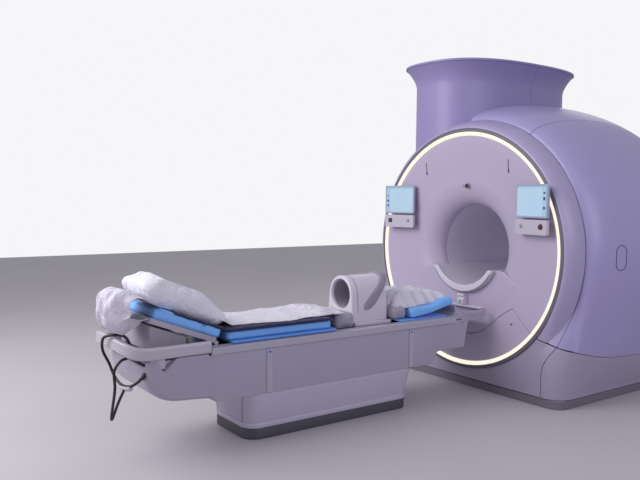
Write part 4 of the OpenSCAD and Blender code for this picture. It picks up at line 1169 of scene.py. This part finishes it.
def nose_cover():
    """Block at the gantry end with a channel for the tabletop, and the thin tongue that docks."""
    side = [(-1.4400, 0.3015), (-1.4297, 0.302), (-1.397, 0.366), (-1.386, 0.377), (-1.370, 0.383),
            (-1.125, 0.383), (-1.110, 0.386), (-1.102, 0.394), (BLOCK_Y - 0.004, 0.580), (BLOCK_Y, 0.600),
            (BLOCK_Y, 0.630), (-1.064, 0.637), (-1.150, 0.625), (-1.1997, 0.6205), (-1.1997, FRAME_TOP),
            (-1.4400, FRAME_TOP - 0.0006)]
    cheeks = [prism(side, s * 0.2560, s * 0.2897) for s in (LEFT, RIGHT)]
    belly = [(-1.4297, 0.302), (-1.397, 0.366), (-1.370, 0.383), (-1.125, 0.383), (-1.102, 0.394),
             (BLOCK_Y, 0.570), (BLOCK_Y, FRAME_TOP - 0.001), (-1.4297, FRAME_TOP - 0.001)]
    piece("table.nose_block", joined(prism(belly, -0.2562, 0.2562), *cheeks), table_paint, LIFT,
          "nose_cover", "table_cover", bevel=0.007)
    trough = [(0.2815, 0.6440), (0.2820, 0.6400), (0.2815, 0.6290), (0.2760, 0.6180), (0.2670, 0.5960),
              (0.2630, 0.5720), (0.2600, 0.5697), (0.2500, 0.5697)]
    trough += [(-x, z) for x, z in reversed(trough)]
    trough += [(-0.2590, 0.6448), (-0.2587, 0.5767), (0.2587, 0.5767), (0.2590, 0.6448)]
    piece("table.nose_tongue", prism(trough, -1.0885, NOSE_Y - 0.001, "y"), table_white, LIFT,
          slot="table_cover", bevel=0.003)
    marks = []
    for s in (LEFT, RIGHT):
        marks.append(moved(prism(rounded(0.060, 0.007, 0.0033, 5, -1.170, 0.598), -0.001, 0.0006),
                           Matrix.Translation((s * COVER_HALF, 0, 0))))
        cap = turned([(0.0001, -0.001), (0.005, -0.001), (0.0055, 0.001)], 20, centre=(0, 0, 0))
        marks.append(on_side(cap, s, COVER_HALF, -1.128, 0.572))
    piece("table.nose_marks", joined(*marks), seam_and_shade_dark, LIFT, slot="table_cover")


def rails_and_top():
    """Side rails, and the hollow tabletop with its raised front end."""
    rail = [(RAIL_ENDS[0], TOP_Z), (RAIL_ENDS[1], TOP_Z), (RAIL_ENDS[1], RAIL_TOP),
            (RAIL_ENDS[0] + 0.004, RAIL_TOP)]
    piece("table.rails", joined(*[prism(rail, s * RAIL_IN, s * RAIL_OUT) for s in (LEFT, RIGHT)]),
          table_white, LIFT, "side_rails", "handle", bevel=0.005)
    half, lip, dish_half, deep = 0.252, 0.624, 0.240, 0.033
    dr = (dish_half ** 2 + deep ** 2) / (2 * deep)
    hollow = [(x, 0.591 + dr - sqrt(dr * dr - x * x)) for x in spread(dish_half, -dish_half, 24)]
    outline = [(-half, 0.583), (-half + 0.006, TOP_Z), (half - 0.006, TOP_Z), (half, 0.583),
               (half, lip)] + hollow + [(-half, lip)]
    tray = prism(outline, -3.550, -1.149, "y")
    front = prism([(-1.239, 0.579), (-1.152, 0.579), (-1.147, 0.600), (-1.1455, 0.643), (-1.149, 0.670),
                   (-1.154, 0.692), (-1.158, 0.6945), (-1.163, 0.690), (-1.162, 0.645), (-1.180, 0.618),
                   (-1.215, 0.600)], -0.246, 0.246)
    piece("table.top", joined(tray, front), table_white, TOP, "tabletop", "tabletop", bevel=0.003)


def end_handle():
    """Flat white bar round the end of the table, with its bracket in the end cover's recess."""
    zc, yc, hx, ly = 0.627, -3.550, 0.282, 0.170
    turn = [(hx * (1 if cos(radians(a)) >= 0 else -1) * abs(cos(radians(a))) ** 0.6,
             yc - ly * abs(sin(radians(a))) ** 0.6, zc + 0.046 * sin(radians(a)) ** 2)
            for a in range(0, 181, 6)]
    straight = (-3.2115, -3.28, -3.36, -3.44, -3.51)
    path = [(hx, y, zc) for y in straight] + turn + [(-hx, y, zc) for y in reversed(straight)]
    bar = swept(curved(path, 3), 0.0175, 0.0355, 28, level=True, square=0.55)
    bracket = prism([(-3.603, 0.5745), (-3.573, 0.551), (-3.552, 0.538), (-3.538, 0.5262), (-3.500, 0.538),
                     (-3.468, 0.557), (-3.443, 0.5745)], -0.262, 0.262)
    posts = [prism(rounded(0.022, 0.088, 0.008, 4, s * 0.2695, -3.530), 0.534, 0.606, "z")
             for s in (LEFT, RIGHT)]
    piece("table.end_handle", joined(bar, bracket, *posts), handle_white, LIFT, "end_handle", "handle",
          bevel=0.003)


# Soft goods: pads are swelled by a cloth simulation, sheets are laid grids

def swell(obj, pressure, cap, voxel):
    """Remeshes a pad, inflates it as cloth and keeps each point within cap of where it was."""
    mod = obj.modifiers.new("skin", "REMESH")
    mod.mode, mod.voxel_size = "VOXEL", voxel
    settled(obj)
    rest = [v.co.copy() for v in obj.data.vertices]
    mod = obj.modifiers.new("cloth", "CLOTH")
    mod.settings.quality, mod.settings.mass = 4, 0.25
    mod.settings.use_pressure, mod.settings.uniform_pressure_force = True, pressure
    mod.settings.effector_weights.gravity = 0
    mod.settings.tension_stiffness = mod.settings.compression_stiffness = 12
    mod.settings.bending_stiffness = 0.6
    mod.collision_settings.use_collision = mod.collision_settings.use_self_collision = False
    scene = bpy.context.scene
    for frame_number in range(1, 17):
        scene.frame_set(frame_number)
        bpy.context.evaluated_depsgraph_get()
    settled(obj)
    scene.frame_set(1)
    for v, start in zip(obj.data.vertices, rest):
        d = v.co - start
        if d.length > cap:
            v.co = start + d * (cap / d.length)


def pad_form(w, l, h, r, edge):
    """Closed pad before it swells: a rounded plan with softened upper and lower edges."""
    levels = [(0.0, -edge), (0.15 * edge, -0.45 * edge), (0.5 * edge, -0.12 * edge), (edge, 0.0)]
    levels += [(h - z, g) for z, g in reversed(levels)]
    return stack([(rounded(w + 2 * g, l + 2 * g, max(0.004, r + g), 8), z) for z, g in levels])


def cushion(name, w, l, h, at, finish, node, slot, pressure=4.0, cap=0.012, voxel=0.008, r=0.03,
            edge=0.014, channels=(), crease=0.0, crown=0.0, piping=None, body=TOP, taper=None, bow=None):
    """A stuffed piece, swelled unless voxel is None: flat below, and kept in its CAD solid's room."""
    inset = 0.006
    obj = piece(name, pad_form(w - 2 * inset, l - 2 * inset, h - 0.008 if voxel else h, r, edge), finish,
                body)
    obj.parent = None  # it rides again once it is shaped
    if voxel:
        swell(obj, pressure, cap, voxel)
    seed = Vector((3.1 * w, 7.7 * l, 1.3 * h))
    for v in obj.data.vertices:
        p = v.co
        u, t = p.x / (w / 2), p.y / (l / 2)
        full = max(0.0, 1 - abs(u) ** 2.6) * max(0.0, 1 - abs(t) ** 2.6)
        high = smooth(p.z, 0.15 * h, 0.7 * h)
        p.z += crown * full * high
        for line in channels:
            pinch = exp(-((p.y - line) / 0.011) ** 2)
            p.z -= 0.16 * h * high * pinch
            p.x *= 1 - 0.030 * pinch
        if crease:
            broad = noise.noise(Vector((p.x * 9, p.y * 9, p.z * 9)) + seed)
            fine = noise.noise(Vector((p.x * 21, p.y * 17, p.z * 17)) + seed)
            ridge = (1 - abs(broad + 0.5 * fine)) ** 5
            p.z -= crease * ridge * high
            side = 1 - high * 0.6
            p.x *= 1 - crease * 0.5 * ridge * side * abs(u)
            p.y *= 1 - crease * 0.5 * ridge * side * abs(t)
        if taper:
            p.z *= taper(u, t)
        p.x = min(w / 2 + 0.002, max(-w / 2 - 0.002, p.x))
        p.y = min(l / 2 + 0.002, max(-l / 2 - 0.002, p.y))
        p.z = min(h + 0.006, max(0.0, p.z))
        if bow:
            p.z += bow(t)
    mod = obj.modifiers.new("rounds", "SUBSURF")
    mod.levels = mod.render_levels = 1
    settled(obj)
    obj.data.transform(at)
    shade(obj.data, 80)
    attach(obj, body)
    if node:
        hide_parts(node)
    if piping:
        piped(name + "_piping", obj, w, l, at, piping, finish, slot, body, bow)
    return obj


def piped(name, obj, w, l, at, heights, finish, slot, body, bow=None):
    """Corded seam round a pad, laid on its surface."""
    back = at.inverted()
    tree = BVHTree.FromPolygons([back @ v.co for v in obj.data.vertices],
                                [tuple(p.vertices) for p in obj.data.polygons])
    parts = []
    long = l + 0.6 * w
    for height in heights:
        ring = []
        for x, y in rounded(w * 1.6, long, w * 0.3, 16):
            z = height + (bow(2 * y / long) if bow else 0)
            inner = Vector((x * (w / 2 - 0.05) / (w * 0.8), y * (l / 2 - 0.05) / (long / 2), z))
            outer = Vector((x, y, inner.z))
            hit = tree.ray_cast(outer, (inner - outer).normalized())
            if hit[0]:
                ring.append(hit[0])
        dense = []
        for a, b in zip(ring, ring[1:] + ring[:1]):
            dense += [a.lerp(b, k / 3) for k in range(3)]
        pulled = []
        for p in dense:
            flat = Vector((p.x * 0.5, p.y * 0.6, p.z))
            hit = tree.ray_cast(p + (p - flat).normalized() * 0.1, (flat - p).normalized())
            pulled.append(hit[0] if hit[0] else p)
        parts.append(moved(swept(pulled + [pulled[0]], 0.0028, n=6), at))
    piece(name, joined(*parts), finish, body, slot=slot)


def cloth(name, w, l, shape, finish, body, slot, nodes=(), nx=60, ny=80, thick=0.003):
    """A sheet: shape(u, v) gives the point for u across and v along, each from -1 to 1."""
    rows = [[shape(u, v) for u in spread(-1, 1, nx)] for v in spread(-1, 1, ny)]
    at = [[Vector(p) for p in row] for row in rows]
    flat_area = sum((at[i][k + 1] - at[i][k]).cross(at[i + 1][k] - at[i][k]).length
                    for i in range(ny) for k in range(nx))
    obj = piece(name, lattice(rows), finish, body, nodes, slot, solid=thick, sharp=80, push=0)
    shrink = sqrt(flat_area / (w * l))
    return obj


def rumple(x, y, size, seed):
    """Height of crumples in a laid cloth: soft ridges of two sizes, from 0 to about 1."""
    a = 1 - abs(noise.noise(Vector((x * size, y * size * 0.7, seed))))
    b = 1 - abs(noise.noise(Vector((x * size * 2.3, y * size * 2.1, seed + 5))))
    return a ** 3 * 0.7 + b ** 3 * 0.3


BACK = Matrix.Translation((0, -3.122, 0.656)) @ Matrix.Rotation(radians(-21), 4, "X")
LEG = Matrix.Translation((0, -1.600, 0.6273)) @ Matrix.Rotation(radians(6), 4, "X")


def flat_at(y, z):
    return Matrix.Translation((0, y, z))


def pillow_taper(u, t):
    return (0.62 + 0.38 * (1 - abs(u * t) ** 1.5) - 0.36 * smooth(t, 0.0, 1.0)
            - 0.34 * smooth(-t, 0.5, 1.0))


def pillow_bow(t):
    return 0.036 * smooth(t, 0.66, 1.0) ** 1.5 + 0.052 * smooth(-t, 0.45, 1.0)


def cushions():
    """Mats, pads, pillow and the two foam pads that the coil is wedged with."""
    cushion("bed.under_mat", 0.550, 0.792, 0.016, flat_at(-2.671, 0.6243), mat_blue, "under_mat",
            "pad_blue", voxel=None, r=0.020, edge=0.006)
    cushion("bed.seat_pad", 0.520, 0.794, 0.060, flat_at(-2.697, 0.6406), pad_blue, "seat_mattress",
            "pad_blue", cap=0.010, voxel=0.009, r=0.024, edge=0.012, piping=(0.014, 0.046))
    cushion("bed.back_pad", 0.520, 0.475, 0.062, BACK @ flat_at(-0.2375, 0.0), pad_blue, "backrest_pad",
            "pad_blue", cap=0.010, voxel=0.008, r=0.024, edge=0.014, channels=(0.105,),
            piping=(0.014, 0.048))
    cushion("bed.pillow", 0.478, 0.615, 0.150, BACK @ flat_at(-0.2575, 0.0685), pillow_cotton, "pillow",
            "linen", pressure=5.0, cap=0.024, voxel=0.010, r=0.08, edge=0.055, crease=0.011,
            crown=0.012, taper=pillow_taper, bow=pillow_bow)
    cushion("bed.leg_pad", 0.500, 0.452, 0.064, LEG @ flat_at(0.226, 0.0075), pad_blue, "leg_pad",
            "pad_blue", cap=0.010, voxel=0.008, r=0.024, edge=0.014, piping=(0.014, 0.052),
            taper=lambda u, t: 0.90 + 0.10 * abs(t - 0.1) ** 1.3,
            bow=lambda t: 0.026 * smooth(t, -0.3, 1.0))
    cushion("bed.leg_mat", 0.512, 0.472, 0.0085, flat_at(-1.476, 0.6246), mat_blue, None, "pad_blue",
            voxel=None, r=0.020, edge=0.003)
    for name, y0, y1, z, w, h in (("coil.pad_seat_side", -2.233, -2.064, 0.6102, 0.380, 0.112),
                                  ("coil.pad_leg_side", -1.738, -1.606, 0.6340, 0.420, 0.098)):
        cushion(name, w, y1 - y0, h, flat_at((y0 + y1) / 2, z), foam_grey, None, "foam_grey",
                cap=0.008, voxel=0.007, r=0.026, edge=0.024, crease=0.010)
    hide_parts("coil_pads")


def sheets():
    """Navy sheets, white blanket, the bag at the pillow's end and the pile of linen, each from its form."""
    z_seat = 0.7010

    def navy(u, v):
        x, y = 0.263 * u, -2.707 + 0.388 * v + 0.006 * sin(9 * u + 2 * v)
        droop = smooth(abs(u), 0.95, 1.0)
        z = z_seat + 0.010 + 0.005 * rumple(x, y, 9, 1.7) * (1 - droop)
        z -= 0.012 * droop + 0.006 * smooth(abs(v), 0.965, 1.0)
        return (x + (0.003 + 0.002 * sin(31 * v)) * droop * (1 if u > 0 else -1), y, z)
    cloth("bed.navy_sheet", 0.56, 0.80, navy, navy_cotton, TOP, "sheet_navy",
          "fitted_sheet", thick=0.004)

    def blanket(u, v):
        y = -2.648 + 0.468 * v
        edge = 0.226 + 0.010 * sin(5.1 * v + 1) + 0.006 * sin(13 * v) - 0.020 * smooth(v, 0.5, 1)
        x = edge * u + 0.008 * sin(7 * v + 3 * u)
        bulk = 0.016 + 0.026 * smooth(-v, 0.3, 1.0) + 0.020 * exp(-((v - 0.70) / 0.22) ** 2)
        z = z_seat + 0.020 + bulk * rumple(x * 1.1, y, 5.0, 4.2) * (1 - 0.5 * abs(u) ** 6)
        z += 0.030 * smooth(-v, 0.80, 1.0) - 0.004 * smooth(abs(u), 0.9, 1.0)
        z += 0.014 * exp(-((v - 0.72) / 0.16) ** 2) * (1 - abs(u) ** 4)
        return (x, y, max(z, z_seat + 0.0185))
    cloth("bed.white_blanket", 0.52, 1.00, blanket, linen, TOP, "linen", nx=90,
          ny=150, thick=0.003)

    def back_sheet(u, v):
        x = (0.246 + 0.005 * sin(11 * v)) * u
        y = -0.170 + 0.166 * v
        z = 0.0660 + 0.003 * rumple(x, y, 10, 2.2) - 0.010 * smooth(abs(u), 0.94, 1.0)
        return tuple(BACK @ Vector((x, y, z)))
    cloth("bed.back_sheet", 0.52, 0.34, back_sheet, navy_cotton, TOP, "sheet_navy",
          ny=50, thick=0.003)
    path = curved([(-0.430, 0.0690), (-0.490, 0.0740), (-0.560, 0.0900), (-0.625, 0.1000), (-0.675, 0.0860),
                   (-0.702, 0.0480), (-0.708, 0.0000), (-0.696, -0.050), (-0.668, -0.100), (-0.625, -0.130),
                   (-0.582, -0.128), (-0.545, -0.090), (-0.510, -0.050), (-0.482, -0.010)], 8)
    middle = Vector((-0.592, -0.020))

    def hanging(u, v):
        k = (v + 1) / 2 * (len(path) - 1)
        i = min(int(k), len(path) - 2)
        p = Vector(path[i]).lerp(Vector(path[i + 1]), k - i)
        loose = smooth(v, -0.8, -0.1) * (1 - smooth(v, 0.75, 1.0))
        fold = (0.010 * sin(9 * u + 2.5 * v + 1.5 * sin(3 * v)) + 0.006 * sin(23 * u - 6 * v)) * loose
        p = p.lerp(middle, 0.93 * loose * smooth(abs(u), 0.50, 1.0) ** 1.4)
        x = 0.098 + (0.160 + 0.014 * loose) * u * (1 - 0.10 * smooth(v, 0.3, 0.8)) + 0.006 * sin(8 * v)
        rough = noise.noise(Vector((x * 14, v * 6, 3.3))) * 0.012
        rough += noise.noise(Vector((x * 34, v * 13, 8.1))) * 0.006
        return tuple(BACK @ Vector((x, p[0] + 0.006 + fold, p[1] - abs(fold) * 0.4 + loose * rough)))
    cloth("bed.hanging_sheet", 0.42, 0.55, hanging, linen, TOP, "linen",
          "hanging_sheet", nx=80, ny=70, thick=0.002)

    def pile(u, v):
        x, y = 0.178 * u, 0.170 + 0.256 * v
        r = max(abs(u), abs(v))
        dome = (1 - r ** 4) * (0.72 + 0.28 * rumple(x * 1.1, y * 1.1, 8, 8.8))
        z = 0.0720 + 0.134 * dome * (1 - 0.48 * smooth(v, -0.15, 1.0))
        z += 0.022 * smooth(-v, 0.45, 1.0) + 0.020 * smooth(v, 0.4, 1.0)
        return tuple(LEG @ Vector((x + 0.008 * sin(17 * v) * abs(u), y + 0.008 * sin(15 * u) * abs(v), z)))
    cloth("bed.linen_pile", 0.50, 0.52, pile, linen, TOP, "linen",
          "linen_pile", nx=90, ny=90, thick=0.004)


def backrest():
    """Board under the back pad, with the rod along its low edge and the foam block that props it."""
    box = [(-3.558, 0.6215), (-3.332, 0.6215), (-3.332, 0.690), (-3.558, 0.775)]
    piece("bed.prop_block", prism(box, -0.219, 0.219), foam_grey, TOP, "foot_box", "foam_grey", bevel=0.008)
    board = stack([(rounded(0.480 + 2 * g, 0.446 + 2 * g, 0.02 + g, 6, 0, -0.243), z)
                   for z, g in [(-0.0345, -0.003), (-0.032, 0), (-0.003, 0), (-0.0006, -0.003)]])
    rod = swept([(-0.240, -3.152, 0.6355), (0.240, -3.152, 0.6355)], 0.0135, n=24)
    piece("bed.back_board", joined(moved(board, BACK), rod), table_white, TOP, "backrest_frame",
          "frame_white")


# Head coil

def head_coil():
    """Head coil: base, round shell with its hole and lining, seam and the strap over it."""
    base_z = 0.6140
    plate_levels = [(base_z - 0.003, -0.002), (base_z - 0.0005, 0), (base_z + 0.019, 0),
                    (base_z + 0.0205, -0.002)]
    base = stack([(rounded(0.340 + 2 * g, 0.331 + 2 * g, 0.018 + g, 5, 0, -1.8865), z)
                  for z, g in plate_levels])
    piece("coil.base_plate", base, coil_white, TOP, "coil_base", "coil_white")
    z0, zc, r = base_z + 0.0215, base_z + 0.2085, 0.127
    hole_z, hole_r = base_z + 0.2060, 0.1005
    y0, y1 = -2.060, -1.746

    def outer(a, grow=0.0):
        """Point of the outline at an angle about the hole's middle."""
        d = Vector((cos(a), sin(a)))
        lo, hi = 0.0, 0.5
        for _ in range(26):
            t = (lo + hi) / 2
            x, z = d.x * t, hole_z + d.y * t
            slope = lerp(0.142, 0.1268, (z - z0 - 0.06) / (zc + 0.02 - z0 - 0.06))
            inside = (hypot(x, z - zc) < r or z0 <= z < z0 + 0.060 and abs(x) < 0.142
                      or z0 + 0.060 <= z < zc + 0.02 and abs(x) < slope)
            lo, hi = (t, hi) if inside else (lo, t)
        return (d.x * (lo + grow), hole_z + d.y * (lo + grow))

    angles = full_turn(96)

    def skin(y, grow=0.0):
        return [(x, y, z) for x, z in (outer(a, grow) for a in angles)]

    def hole(y, radius):
        return [(radius * cos(a), y, hole_z + radius * sin(a)) for a in angles]

    steps = [(y0 + 0.010, 0.0), (y0 + 0.004, -0.0015), (y0 + 0.001, -0.0045), (y0, -0.008)]
    rows = [skin(y, g) for y, g in reversed(steps)]
    rows += [skin(y) for y in spread(y0 + 0.05, y1 - 0.05, 6)]
    rows += [skin(y1 - (y - y0), g) for y, g in steps]
    mouth = [(0.0, hole_r + 0.010), (0.0015, hole_r + 0.007), (0.014, hole_r)]
    inner = [hole(y1 - d, radius) for d, radius in mouth]
    inner += [hole(y, hole_r) for y in spread(y1 - 0.04, y0 + 0.04, 5)]
    inner += [hole(y0 + d, radius) for d, radius in reversed(mouth)]
    piece("coil.shell", lattice(rows + inner + [rows[0]], close_columns=True), coil_white, TOP,
          "coil_shell", "coil_white", sharp=45)
    across = [(-1.0, -0.004), (-1.0, 0.008), (-0.93, 0.0125), (-0.8, 0.014), (0.8, 0.014),
              (0.93, 0.0125), (1.0, 0.008), (1.0, -0.004)]
    band = []
    for k in spread(0, 1, 110):
        a = radians(lerp(-34, 214, k))
        x, z = outer(a)
        end = sqrt(max(0.0, 1 - (1 - min(1.0, 16 * min(k, 1 - k) + 0.08)) ** 2))
        y, w = lerp(-1.925, -1.712, (z - 0.735) / 0.215), lerp(0.046, 0.030, smooth(z, 0.735, 0.95)) * end
        up = z - hole_z
        band.append([(x * (1 + g / hypot(x, up)), y + s * w, hole_z + up * (1 + g / hypot(x, up)))
                     for s, g in across])
    piece("coil.strap", tube(band), coil_band, TOP, slot="coil_white", sharp=50)
    seam = [(x, y0 + 0.052, z) for x, z in (outer(radians(-40 + 260 * k / 60), 0.0003) for k in range(61))]
    piece("coil.seam", swept(seam, 0.0015, n=6), seam_and_shade_dark, TOP, slot="coil_white")
    lining = [hole(y, hole_r - 0.0015) for y in (y0 + 0.022, y0 + 0.10, y0 + 0.2, y1 - 0.022)]
    piece("coil.lining", lattice(lining, close_columns=True), foam_grey, TOP, slot="foam_grey",
          outward=(0, -9, hole_z))


# Room: a plain floor and soft light

def room():
    """Floor, even light all round and three soft lamps."""
    floor = placed("floor", mesh_of("floor", ([(-14, -14, 0), (14, -14, 0), (14, 14, 0), (-14, 14, 0)],
                                              [(0, 1, 2, 3)])))
    f = Finish("floor_vinyl", srgb(196, 192, 198), 0.5)
    f.set("Base Color", f.mix(f.cloud(0.8, 3.0), srgb(180, 176, 182), srgb(191, 187, 192)))
    floor.data.materials.append(f.material)
    world = bpy.data.worlds.new("room")
    bpy.context.scene.world = world
    world.use_nodes = True
    nodes, links = world.node_tree.nodes, world.node_tree.links
    back = nodes["Background"]
    back.inputs[0].default_value, back.inputs[1].default_value = (0.93, 0.92, 1.0, 1), 0.49
    seen = nodes.new("ShaderNodeBackground")
    seen.inputs[0].default_value, seen.inputs[1].default_value = (0.92, 0.92, 0.94, 1), 1.0
    path, blend = nodes.new("ShaderNodeLightPath"), nodes.new("ShaderNodeMixShader")
    links.new(path.outputs["Is Camera Ray"], blend.inputs[0])
    links.new(back.outputs[0], blend.inputs[1])
    links.new(seen.outputs[0], blend.inputs[2])
    links.new(blend.outputs[0], nodes["World Output"].inputs[0])
    lamps = [("key", (-1.6, -6.2, 3.6), (0, -1.2, 0.8), 4.0, 238, (1.0, 0.98, 1.0)),
             ("side", (5.2, -1.5, 3.0), (0, 0, 1.0), 3.0, 62, (0.88, 0.86, 1.0)),
             ("rear", (-3.5, 4.5, 3.5), (0, 0, 1.2), 4.0, 40, (0.95, 0.95, 1.0))]
    for name, spot, aim, size, power, tint in lamps:
        lamp = bpy.data.lights.new(name, "AREA")
        lamp.energy, lamp.size, lamp.color = power, size, tint
        obj = placed(name, lamp)
        obj.location = spot
        obj.rotation_euler = (Vector(aim) - Vector(spot)).to_track_quat("-Z", "Y").to_euler()
    bpy.context.scene.view_settings.view_transform = "Standard"


def dress(finish, *nodes):
    """Gives CAD nodes that are shown as they are their finish."""
    for name in nodes:
        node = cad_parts[name]
        for slot in node.material_slots:
            slot.material = finish
        if not node.material_slots:
            node.data.materials.append(finish)


table_cables()
for side in (LEFT, RIGHT):
    side_cover(side)
    hatch(side)
    base_side(side)
    display(side)
top_cover()
front_surround()
base_front()
gantry_plinth()
light_ring()
front_dish()
bore()
bore_bridge()
docking_latch()
shroud()
table_base()
upper_cover()
end_cover()
nose_cover()
rails_and_top()
end_handle()
cushions()
sheets()
backrest()
head_coil()
dress(vessel_steel, "magnet_vessel", "vent_pipe")
dress(winding, "gradient_coil")
dress(steel, "lift_column", "mid_column", "lift_ram")
dress(table_paint, "middle_shroud")
room()
